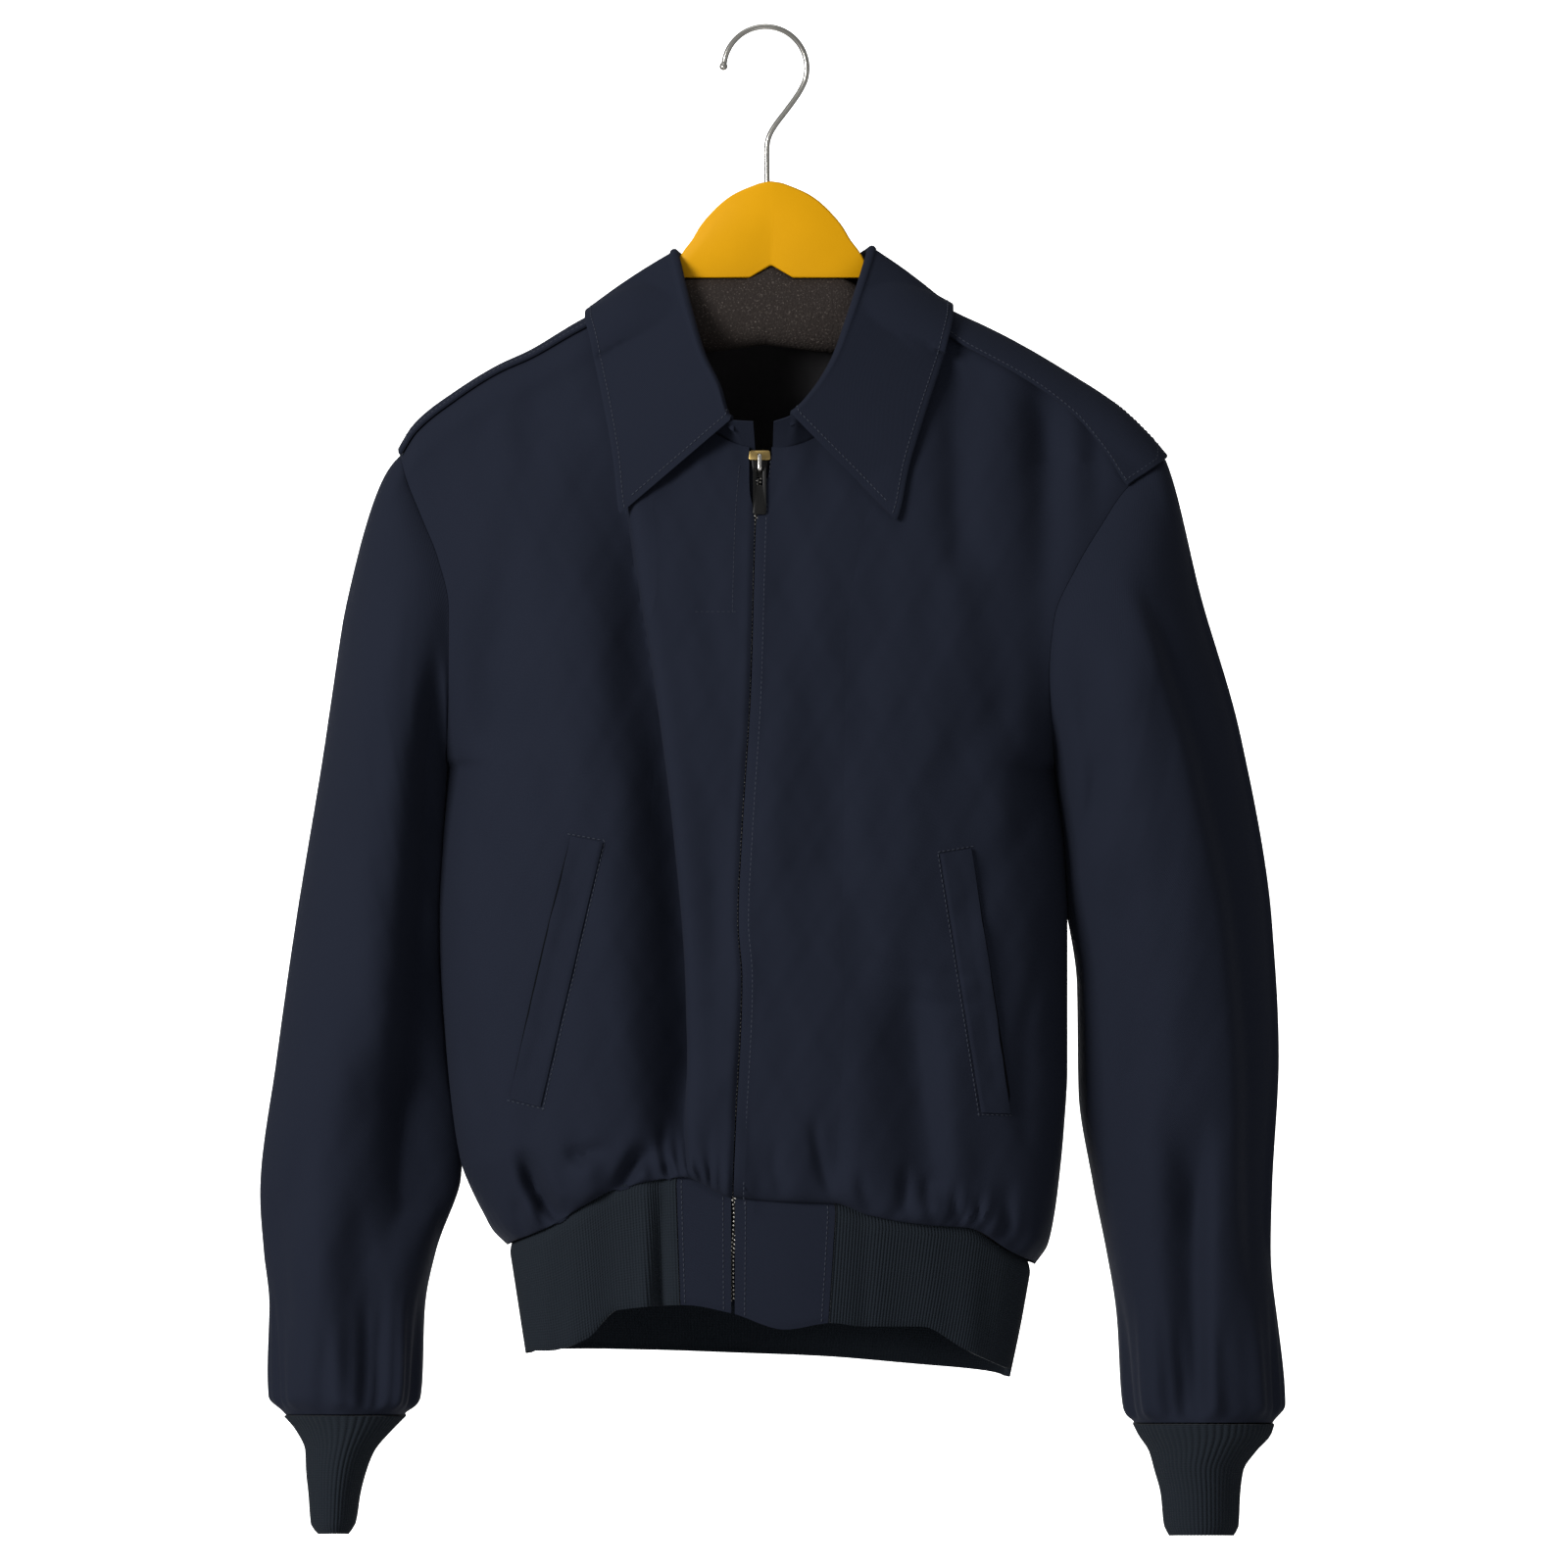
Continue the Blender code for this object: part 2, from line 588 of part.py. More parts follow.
def body_wall(name, face, points, normal, material):
    """A panel's wall. Its inner face stays on its own side of the seams."""
    inner = points - normal * CLOTH
    seam = middle_y(points[..., 2])
    if face == "front":
        inner[..., 1] = np.minimum(inner[..., 1], seam - SEAM / 2)
    else:
        inner[..., 1] = np.maximum(inner[..., 1], seam + SEAM / 2)
    return wall(name, points, inner, material)


def build_fronts(material):
    for name, side in (("front_left", -1), ("front_right", 1)):
        rows, places = np.meshgrid(body_rows(side), panel_columns("front", side), indexing="ij")
        surface = panel("front", side)
        outward = normals(surface, rows, places) * side
        body_wall(name, "front", surface(rows, places), outward, material)


def build_back(material):
    halves = {}
    for side in (-1, 1):
        columns = panel_columns("back", side)
        blend = (1 + side * columns) / 2
        rows = np.outer(body_rows(-1), 1 - blend) + np.outer(body_rows(1), blend)
        places = np.broadcast_to(columns, rows.shape)
        surface = panel("back", side)
        halves[side] = (surface(rows, places), normals(surface, rows, places) * -side)
    points = np.hstack((halves[-1][0][:, :0:-1], halves[1][0]))
    normal = np.hstack((halves[-1][1][:, :0:-1], halves[1][1]))
    body_wall("back", "back", points, normal, material)


# Sleeves
def armhole_point(side, turns):
    """Points of the armhole's edge."""
    z = armhole_z(side, turns)
    x = edge_x(side, z)
    front = np.sin(2 * math.pi * turns) >= 0
    y = np.where(front, facing("front", body_depth("front", side, x, z), z),
                 facing("back", body_depth("back", side, x, z), z))
    return np.stack((x, y, z), axis=-1)


def panel_normal(side, turns):
    """The outward normals of the front and back at the armhole's edge."""
    normal = []
    for turn in np.ravel(turns):
        place = armhole_rows(side, armhole_z(side, turn))
        face, sign = ("front", side) if math.sin(2 * math.pi * turn) >= 0 else ("back", -side)
        normal.append(normals(panel(face, side), place, np.array(1.0)) * sign)
    return np.array(normal)


def seam_ring(side, turns):
    """The armhole's edge moved off the panels, into the opening, by the gap of the seam."""
    points = armhole_point(side, turns)
    tangent = armhole_point(side, (turns + 0.004) % 1.0) - armhole_point(side, (turns - 0.004) % 1.0)
    tangent = tangent / np.linalg.norm(tangent, axis=-1, keepdims=True)
    off = np.cross(panel_normal(side, turns), tangent)
    centre = armhole_point(side, np.array([0.0, 0.5])).mean(axis=0)
    off = off * np.sign(np.sum(off * (centre - points), axis=-1, keepdims=True))
    return points + off * SLEEVE_SEAM


def clear_of_body(side, points):
    """Points of a sleeve moved out to lie against the body's side and not inside it."""
    x, y, z = np.moveaxis(points, -1, 0)
    away = y - middle_y(z)
    edge = edge_x(side, z)
    full = np.where(away < 0, fullness("front", shoulder_z(side, edge) - z),
                    fullness("back", shoulder_z(side, edge) - z))
    part = np.clip(np.abs(away) / np.maximum(full, 1.0), 0.0, 1.0)
    across = (1 - part ** SIDE_CURVE) ** (1 / SIDE_CURVE)
    side_x = zip_x(z) + (edge - zip_x(z)) * across
    side_x = np.where(z > PIT_Z, edge, side_x)
    limit = side * side_x + SLEEVE_GAP * ease((PIT_Z + PIT_CLEAR - z) / PIT_CLEAR)
    over = np.maximum(limit - side * x, 0.0)
    return np.stack((x + side * over, y, z), axis=-1)


def sleeve_fold_depth(side, face, along, across):
    """How far the folds press in the front or back of a sleeve."""
    total = 0.0
    for start, end, top, low, inward, outward, depth, which in zip(*SLEEVE_FOLDS[side].values()):
        down = np.clip((along - start) / (end - start), 0.0, 1.0)
        away = across - (top + (low - top) * down)
        width = np.where(away < 0, inward, outward)
        swing = ease((along - start) / 0.12) * (1 - ease((along - end + 0.06) / 0.1))
        total = total + depth * swing * np.exp(-(away / width) ** 2) * (face == which)
    return total


def sleeve(side):
    """A sleeve's surface function: rows along it 0 to the last station, columns a turn from tip to front."""
    tab = SLEEVE[side]

    def surface(rows, columns):
        rows = np.clip(rows, 0.0, tab["along"][-1])
        angle = 2 * math.pi * columns
        read = {name: column(tab, "along", name, rows) for name in tab}
        outward = np.cos(angle)
        x = (read["x_out"] + read["x_in"]) / 2 + (read["x_out"] - read["x_in"]) / 2 * outward
        z = (read["z_out"] + read["z_in"]) / 2 + (read["z_out"] - read["z_in"]) / 2 * outward
        face = np.where(np.sin(angle) >= 0, -1, 1)
        press = sleeve_fold_depth(side, face, rows, outward)
        gather = SLEEVE_GATHER_HEIGHT * np.cos(SLEEVE_GATHERS * angle) * ease((rows - 0.88) / 0.1)
        gather = gather * (1 - ease((rows - 1.0) / 0.04))
        press = np.minimum(press, read["half"] * np.abs(np.sin(angle)) * 0.6)
        half = (read["half"] + gather) * np.sin(angle)
        y = read["y"] - half - face * press
        ring = np.stack((x + side * gather * outward, y, z), axis=-1)
        start = armhole_point(side, columns % 1.0)
        blend = ease(rows / 0.24)[..., None]
        return clear_of_body(side, start * (1 - blend) + ring * blend)

    return surface


def build_sleeves(material):
    turns = np.array(ARMHOLE_TURNS + tuple(1 - turn for turn in ARMHOLE_TURNS[-2:0:-1]))
    last = SLEEVE[-1]["along"][-1]
    stations = np.concatenate(([0.0, 0.03, 0.07], np.linspace(0.12, 0.94, SLEEVE_ROWS - 6), [0.975, 1.0, last]))
    rows, columns = np.meshgrid(stations, turns, indexing="ij")
    for name, side in (("sleeve_left", -1), ("sleeve_right", 1)):
        surface = sleeve(side)
        outward = normals(surface, rows, columns) * side
        at_tip = np.cos(math.pi * turns)[:, None] ** 2
        first = at_tip * panel_normal(side, turns) + (1 - at_tip) * outward[0]
        outward[0] = first / np.linalg.norm(first, axis=-1, keepdims=True)
        points = surface(rows, columns)
        points += (seam_ring(side, turns) - points[0]) * (1 - ease(rows / SEAM_FADE))[..., None]
        wall(name, points, points - outward * CLOTH, material, tube=True)


# Waistband and cuffs
def band(rows, turns):
    """The waistband: rows from bottom 0 to top 1. Turns are 0 at the zip, 1 right, -1 left, 2 at the back."""
    rows = np.clip(rows, 0.0, 1.0)
    turns = np.where(turns < -2, turns + 4, turns)
    quarter = np.where(np.abs(turns) <= 1, np.abs(turns), 2 - np.abs(turns))
    across = across_at(quarter)
    round_side = np.clip(1 - across ** SIDE_CURVE, 0.0, 1.0) ** (1 / SIDE_CURVE)
    right = turns >= 0
    front = np.abs(turns) <= 1
    edge = np.where(right, column(BAND_EDGE[1], "height", "x", rows), column(BAND_EDGE[-1], "height", "x", rows))
    centre = np.where(right, zip_x(EDGE[1]["z"][0]), zip_x(EDGE[-1]["z"][0]))
    x = centre + (edge - centre) * across
    top = np.where(front, column(HEM["front"], "x", "top", x), column(HEM["back"], "x", "top", x)) - BAND_SEAM
    low = np.where(front, column(HEM["front"], "x", "bottom", x), column(HEM["back"], "x", "bottom", x))
    z = low + (top - low) * rows
    depth = np.where(front, BAND_DEPTH["front"], BAND_DEPTH["back"]) * round_side - BAND_TAPER * (1 - rows)
    for place, width, fold in zip(*BAND_FOLDS.values()):
        depth = depth - np.where(front, fold * (1.3 - rows) * np.exp(-((x - place) / width) ** 2), 0.0)
    depth = np.maximum(depth, 0.0) * np.where(front, -1, 1)
    return np.stack((x, middle_y(z) + depth, z), axis=-1)


def band_turn(x):
    """The turn of a place on the front of the waistband."""
    side = 1 if x > zip_x(-756.0) else -1
    centre = zip_x(EDGE[side]["z"][0])
    return side * float(share_at((x - centre) / (BAND_EDGE[side]["x"][-1] - centre)))


def build_band(woven, knit):
    rows = np.linspace(0, 1, BAND_ROWS)
    for name, (start, end) in (("band_tab_left", TAB_LEFT), ("band_tab_right", TAB_RIGHT)):
        places = np.linspace(band_turn(start), band_turn(end), 7)
        sheet(name, band, rows, places, CLOTH, woven)
    start = band_turn(TAB_LEFT[0]) - 0.003
    length = 4 + start - (band_turn(TAB_RIGHT[1]) + 0.003)
    fine = start - length * np.linspace(0, 1, 2 * BAND_RIBS + 1)
    ribbed(fine, "band_knit", band, rows, knit, False, -1)


def ribbed(places, name, surface, rows, material, tube, sign):
    """A knit wall with upright ribs raised in its outer points, over a plain inside."""
    rows_fine, columns = np.meshgrid(rows, places, indexing="ij")
    outer = surface(rows_fine, columns)
    outward = normals(surface, rows_fine, columns) * sign
    crest = np.where(np.arange(len(places)) % 2 == 1, RIB_HEIGHT, 0.0)
    inner = (outer - outward * KNIT)[:, ::4]
    return wall(name, outer + outward * crest[None, :, None], inner, material, tube)


def cuff(side):
    """A cuff's surface function: rows are heights, columns a turn."""
    tab = CUFF[side]

    def surface(rows, columns):
        angle = 2 * math.pi * columns
        read = {name: column(tab, "z", name, rows) for name in tab}
        x = (read["x_out"] + read["x_in"]) / 2 + (read["x_out"] - read["x_in"]) / 2 * np.cos(angle)
        y = read["y"] - read["half"] * np.sin(angle)
        return np.stack((x, y, rows + 0 * x), axis=-1)

    return surface


def build_cuffs(knit):
    places = np.arange(2 * CUFF_RIBS) / (2 * CUFF_RIBS)
    for name, side in (("cuff_left", -1), ("cuff_right", 1)):
        ribbed(places, name, cuff(side), CUFF[side]["z"], knit, True, side)


# Collar, straps and welts
def collar_rows(side, along):
    return {name: column(COLLAR[side], "along", name, along) for name in COLLAR[side]}


def off_body(side, points, lift):
    """Points pushed out from the body until they stand off the cloth by a lift."""
    x, y, z = np.moveaxis(points, -1, 0)
    radius = SHOULDER_ROUND["back"] + lift
    above = z - shoulder_z(side, x) + SHOULDER_ROUND["back"]
    reach = np.hypot(y, above)
    push = np.where((above > 0) & (reach < radius), radius / np.maximum(reach, 1.0), 1.0)
    y = y * push
    z = z + above * (push - 1)
    front = facing("front", body_depth("front", side, x, z, lift), z)
    back = facing("back", body_depth("back", side, x, z, lift), z)
    y = np.where(y < 0, np.minimum(y, front), np.maximum(y, back))
    return np.stack((x, y, z), axis=-1)


def leaf(side):
    """Half the collar's leaf: rows from fold 0 to edge 1, columns from the front end 0 to the back 1."""

    def surface(rows, columns):
        read = collar_rows(side, np.clip(columns, 0.0, 1.0))
        rows = np.clip(rows, 0.0, 1.0)
        fold = np.stack((read["x_fold"], read["y_fold"], read["z_fold"]), axis=-1)
        edge = np.stack((read["x_edge"], read["y_edge"], read["z_edge"]), axis=-1)
        points = fold + (edge - fold) * rows[..., None]
        points[..., 2] += 2.0 * np.sin(math.pi * rows) * np.clip(columns, 0, 1)
        lift = read["lift"] + 1.5 * (1 - rows)
        return off_body(side, points, lift)

    return surface


def stand(side):
    """Half the collar's stand: rows from the neckline 0 to the fold 1."""

    def surface(rows, columns):
        read = collar_rows(side, np.clip(columns, -0.1, 1.0))
        rows = np.clip(rows, 0.0, 1.0)
        turn = np.radians(read["turn"])
        x = CENTRE_X + side * NECK_HALF * np.sin(turn)
        front = read["turn"] <= 90.5
        z = NECK_TOP_Z - np.where(front, NECK_FRONT_DROP, NECK_BACK_DROP) * np.abs(np.cos(turn))
        y = np.where(front, facing("front", body_depth("front", side, x, z), z),
                     facing("back", body_depth("back", side, x, z), z))
        low = np.stack((x - side * STAND_RAISE * np.sin(turn), y, z + STAND_RAISE), axis=-1)
        fold = np.stack((read["x_fold"], read["y_fold"], read["z_fold"]), axis=-1)
        inward = np.stack((CENTRE_X - fold[..., 0], -4 - fold[..., 1], 0 * x), axis=-1)
        inward = inward / np.linalg.norm(inward, axis=-1, keepdims=True)
        high = fold + inward * STAND_INSIDE
        high[..., 2] -= 1.0
        return low + (high - low) * rows[..., None]

    return surface


def neck_places(side):
    """Places along the collar that meet the columns of the fronts and back at the neckline."""
    along = np.linspace(-0.1, 1, 400)
    turns = NECK_TURNS["front"][1:] + NECK_TURNS["back"][-2::-1]
    places = np.interp(turns, column(COLLAR[side], "along", "turn", along), along)
    return np.concatenate(([-0.1], places))


def both_sides(name, half, rows, columns, thickness, material, places=None):
    """One wall from the left half's front end round the back to the right half's front end."""
    parts = []
    for side in (-1, 1):
        surface = half(side)
        columns = places(side) if places else columns
        r, c = np.meshgrid(rows, columns, indexing="ij")
        points = surface(r, c)
        outward = normals(surface, r, c)
        towards = points - np.array([CENTRE_X, 0.0, -260.0])
        flip = np.sign(np.sum(outward * towards, axis=-1).mean())
        parts.append((points, points - outward * flip * thickness))
    outer = np.hstack((parts[0][0], parts[1][0][:, -2::-1]))
    inner = np.hstack((parts[0][1], parts[1][1][:, -2::-1]))
    return wall(name, outer, inner, material)


def build_collar(material):
    columns = np.array(COLLAR_PLACES)
    both_sides("collar_leaf", leaf, np.linspace(0, 1, COLLAR_ROWS), columns, COLLAR_CLOTH, material)
    both_sides("collar_stand", stand, np.linspace(0, 1, 3), columns, STAND_CLOTH, material, neck_places)


def strap(side):
    """A strap on the cloth: rows from the collar 0 to the armhole 1, columns from front to back edge."""

    def on_shoulder(face, out, arc):
        radius = SHOULDER_ROUND[face]
        turn = np.minimum(np.abs(arc) / radius, math.pi / 2)
        drop = radius * (1 - np.cos(turn)) + np.maximum(np.abs(arc) - radius * math.pi / 2, 0.0)
        return side * out, shoulder_z(side, side * out) - drop, drop

    def surface(rows, columns):
        rows = np.clip(rows, 0.0, 1.0)
        start = STRAP[side]["out"][0]
        out = start + (STRAP[side]["out"][-1] - start) * rows
        for _ in range(12):
            arc = column(STRAP[side], "out", "front", out) * (1 - columns)
            arc = arc + column(STRAP[side], "out", "back", out) * columns
            limit = [side * edge_x(side, on_shoulder(f, out, arc)[1]) - STRAP_END_GAP for f in ("front", "back")]
            limit = np.where(arc < 0, limit[0], limit[1])
            out = out + 0.4 * (start + (limit - start) * rows - out)
        points = {}
        for face, sign in (("front", -1), ("back", 1)):
            x, z, drop = on_shoulder(face, out, arc)
            share = depth_share(side, across_of(face, side, x, z), z)[0]
            points[face] = np.stack((x, sign * fullness(face, drop) * share, z), axis=-1)
        return np.where((arc < 0)[..., None], points["front"], points["back"])

    return surface


def build_straps(material):
    for name, side in (("strap_left", -1), ("strap_right", 1)):
        surface = strap(side)
        r, c = np.meshgrid(np.linspace(0, 1, 13), np.linspace(0, 1, 8), indexing="ij")
        points = surface(r, c)
        outward = normals(surface, r, c)
        outward = outward * np.sign(outward[..., 2].mean())
        wall(name, points + outward * (STRAP_RAISE + STRAP_CLOTH), points + outward * STRAP_RAISE, material)


def build_welts(material):
    for name, side in (("welt_left", -1), ("welt_right", 1)):
        corner = {key: np.array(value) for key, value in WELT[side].items()}

        def surface(rows, columns, corner=corner, side=side):
            r = rows[..., None]
            c = columns[..., None]
            top = corner["top_in"] * (1 - c) + corner["top_out"] * c
            low = corner["low_in"] * (1 - c) + corner["low_out"] * c
            x, z = np.moveaxis(low * (1 - r) + top * r, -1, 0)
            return np.stack((x, facing("front", body_depth("front", side, x, z), z), z), axis=-1)

        r, c = np.meshgrid(np.linspace(0, 1, 11), np.linspace(0, 1, 4), indexing="ij")
        points = surface(r, c)
        outward = normals(surface, r, c)
        outward = outward * -np.sign(outward[..., 1].mean())
        lift = LAID_ON + WELT_CLOTH
        wall(name, points + outward * lift, points + outward * (lift - WELT_CLOTH), material)


# Zip
def tape(rows, columns):
    """The zip's tape behind the edges of the fronts: rows are heights, columns run across."""
    x = zip_x(rows) + columns
    side_right = columns > 0
    depth = np.where(side_right, fullness("front", shoulder_z(1, x) - rows),
                     fullness("front", shoulder_z(-1, x) - rows))
    share = np.where(side_right, depth_share(1, across_of("front", 1, x, rows), rows)[0],
                     depth_share(-1, across_of("front", -1, x, rows), rows)[0])
    press = fold_depth("front", x, rows)
    band_depth = BAND_DEPTH["front"] - BAND_TAPER * ease((ZIP_HEM_Z - rows) / 66)
    depth = band_depth + (depth * share - press - band_depth) * ease((rows - ZIP_HEM_Z - HEM_ROUND) / 40)
    return np.stack((x, middle_y(rows) - depth, rows + 0 * x), axis=-1)


def build_tape(cloth):
    heights = np.concatenate((np.linspace(ZIP_LOW_Z, -690, 4), np.linspace(-660, ZIP_TOP_Z, 12)))
    r, c = np.meshgrid(heights, np.linspace(-TAPE_HALF, TAPE_HALF, 3), indexing="ij")
    points = tape(r, c)
    behind = np.array([0.0, 1.0, 0.0])
    wall("zip_tape", points + behind * TAPE_BEHIND, points + behind * (TAPE_BEHIND + TAPE_CLOTH), cloth)


def local_frame(thing, base, lean, out):
    """Places an object made upright at the origin on the leaning face of the zip."""
    normal = np.array([0.0, -math.cos(lean), math.sin(lean)])
    thing.location = [c * MM for c in base + normal * out]
    thing.rotation_euler = (-lean, 0, 0)


def flat_outline(name, loops, half_thick):
    """A flat outline with holes, extruded both ways from its plane."""
    curve = bpy.data.curves.new(name, "CURVE")
    curve.dimensions = "2D"
    curve.fill_mode = "BOTH"
    curve.extrude = half_thick * MM
    for loop in loops:
        spline = curve.splines.new("POLY")
        spline.points.add(len(loop) - 1)
        spline.use_cyclic_u = True
        for point, (x, y) in zip(spline.points, loop):
            point.co = (x * MM, y * MM, 0, 1)
    return curve


def meshed(curve, name):
    """A curve as a mesh object with welded caps."""
    holder = bpy.data.objects.new(name + "_outline", curve)
    bpy.context.scene.collection.objects.link(holder)
    bpy.context.view_layer.update()
    evaluated = holder.evaluated_get(bpy.context.evaluated_depsgraph_get())
    mesh = bpy.data.meshes.new_from_object(evaluated)
    bpy.data.objects.remove(holder)
    shell = bmesh.new()
    shell.from_mesh(mesh)
    bmesh.ops.remove_doubles(shell, verts=shell.verts, dist=0.00001)
    bmesh.ops.recalc_face_normals(shell, faces=shell.faces)
    shell.to_mesh(mesh)
    shell.free()
    mesh.name = name
    return bpy.data.objects.new(name, mesh)


def beveled(thing, width, segments):
    """A narrow rounded edge."""
    bevel = thing.modifiers.new("edges", "BEVEL")
    bevel.width = width * MM
    bevel.segments = segments
    bevel.limit_method = "ANGLE"
    bevel.angle_limit = math.radians(35)


def build_slider(metal):
    """The slider's body with the bridge that carries the pull tab, and the tab itself."""
    base, lean = zip_frame()
    bpy.ops.mesh.primitive_cube_add(size=1)
    body = bpy.context.active_object
    body.name = body.data.name = "zip_slider"
    for vertex in body.data.vertices:
        narrow = 1.0 if vertex.co.z > 0 else 0.72
        vertex.co.x *= SLIDER_WIDE * MM * narrow
        vertex.co.z *= SLIDER_LONG * MM
        vertex.co.y = (vertex.co.y - 0.5) * SLIDER_THICK * MM
    body.users_collection[0].objects.unlink(body)
    beveled(body, 0.5, 2)
    far, near, tall = BRIDGE_HALF, BRIDGE_HALF - BRIDGE_BAR, BRIDGE_TALL
    arch = [
        (-far, -1), (-far, tall - 1.6), (-far + 1.6, tall), (far - 1.6, tall), (far, tall - 1.6), (far, -1),
        (near, -1), (near, tall - 2.2), (near - 0.8, tall - BRIDGE_BAR), (0.8 - near, tall - BRIDGE_BAR),
        (-near, tall - 2.2), (-near, -1),
    ]
    bridge = meshed(flat_outline("bridge", [arch], BRIDGE_WIDE / 2), "bridge")
    for vertex in bridge.data.vertices:
        along, out, wide = vertex.co
        vertex.co = (wide, -out - SLIDER_THICK * MM, along)
    CUTTERS.objects.link(bridge)
    bridge.hide_render = True
    bridge.display_type = "WIRE"
    join = body.modifiers.new("bridge", "BOOLEAN")
    join.operation = "UNION"
    join.object = bridge
    add(body, metal)
    local_frame(body, base, lean, LAID_ON)
    local_frame(bridge, base, lean, LAID_ON)

    half, top, end = TAB_WIDE / 2, TAB_BAR / 2, TAB_BAR / 2 - TAB_LONG
    slot, slot_end = TAB_SLOT_WIDE / 2, -TAB_BAR / 2 - TAB_SLOT_LONG
    outline = [
        (-half + 1.6, top), (half - 1.6, top), (half, top - 1.6), (half, end + 1.2), (half - 1.2, end),
        (-half + 1.2, end), (-half, end + 1.2), (-half, top - 1.6),
    ]
    hole = [(-slot, -top), (-slot, slot_end), (slot, slot_end), (slot, -top)]
    tab = meshed(flat_outline("pull_tab", [outline, hole], TAB_THICK / 2), "pull_tab")
    for vertex in tab.data.vertices:
        wide, along, thick = vertex.co
        vertex.co = (wide, -thick, along)
    add(tab, metal)
    local_frame(tab, base + hinge_shift(lean), lean, 0.0)


def zip_frame():
    """The point of the tape under the slider's middle, and how far the zip leans there."""
    top, low = tape(np.array([SLIDER_Z, SLIDER_Z - 40]), np.array([0.0, 0.0]))
    lean = math.atan2(top[1] - low[1], top[2] - low[2])
    return true_place(top + np.array([0.0, TAPE_BEHIND, 0.0])), lean


def hinge_shift(lean):
    """From the slider's base to the pull tab's hinge, out from the zip and down along it."""
    out = LAID_ON + SLIDER_THICK + (BRIDGE_TALL - BRIDGE_BAR) / 2
    down = BRIDGE_HALF - BRIDGE_BAR - TAB_BAR / 2 - 0.4
    normal = np.array([0.0, -math.cos(lean), math.sin(lean)])
    along = np.array([0.0, -math.sin(lean), -math.cos(lean)])
    return normal * out + along * down


# Hanger
def build_hook(metal):
    """The wire hook: a ball end, three quarters of a circle, a sweep back to the middle and a straight leg."""
    route = [(HOOK_X + HOOK_RADIUS * math.cos(math.radians(a)), HOOK_Z + HOOK_RADIUS * math.sin(math.radians(a)))
             for a in range(172, -29, -10)]
    sweep = [(12.0, -50.5), (6.6, -57.0), (2.9, -63.0), (1.0, -69.0), (0.8, -78.0), (1.0, -90.0)]
    route += sweep + [(LEG_X, -93 - HOOK_BORE_DEPTH + 0.5)]
    curve = bpy.data.curves.new("hanger_hook", "CURVE")
    curve.dimensions = "3D"
    curve.bevel_depth = WIRE_RADIUS * MM
    curve.bevel_resolution = 2
    curve.use_fill_caps = True
    spline = curve.splines.new("POLY")
    spline.points.add(len(route) - 1)
    for point, (x, z) in zip(spline.points, route):
        point.co = (x * MM, 0, z * MM, 1)
    add(bpy.data.objects.new("hanger_hook", curve), metal)


def build_crown(plastic):
    """The domed plate under the hook, slightly ridged down its middle, notched below."""
    half = list(zip(CROWN["out"], CROWN["top"]))
    half += [(58.6, CROWN_BOTTOM_Z), (NOTCH_HALF, CROWN_BOTTOM_Z), (0, CROWN_BOTTOM_Z + NOTCH_RISE)]
    crown = meshed(flat_outline("hanger_crown", [half], CROWN_THICK / 2), "hanger_crown")
    shell = bmesh.new()
    shell.from_mesh(crown.data)
    middle = [face for face in shell.faces if all(abs(v.co.x) < 1e-6 for v in face.verts)]
    bmesh.ops.delete(shell, geom=middle, context="FACES")
    for vertex in shell.verts:
        x, z, y = vertex.co
        ridge = CROWN_RIDGE * MM * (1 - x / (60 * MM))
        vertex.co = (x, -y - ridge, z)
    shell.to_mesh(crown.data)
    shell.free()
    mirror = crown.modifiers.new("other half", "MIRROR")
    mirror.merge_threshold = 0.0001
    beveled(crown, 1.6, 2)
    bpy.ops.mesh.primitive_cylinder_add(
        vertices=16, radius=(WIRE_RADIUS + BORE_CLEAR) * MM, depth=4 * HOOK_BORE_DEPTH * MM,
        location=(LEG_X * MM, 0, (CROWN["top"][0] + HOOK_BORE_DEPTH) * MM),
    )
    bore = bpy.context.active_object
    bore.name = "crown_bore"
    bore.users_collection[0].objects.unlink(bore)
    CUTTERS.objects.link(bore)
    bore.hide_render = True
    bore.display_type = "WIRE"
    cut = crown.modifiers.new("bore", "BOOLEAN")
    cut.operation = "DIFFERENCE"
    cut.object = bore
    add(crown, plastic, (HANGER_CENTRE_X, 0, 0))


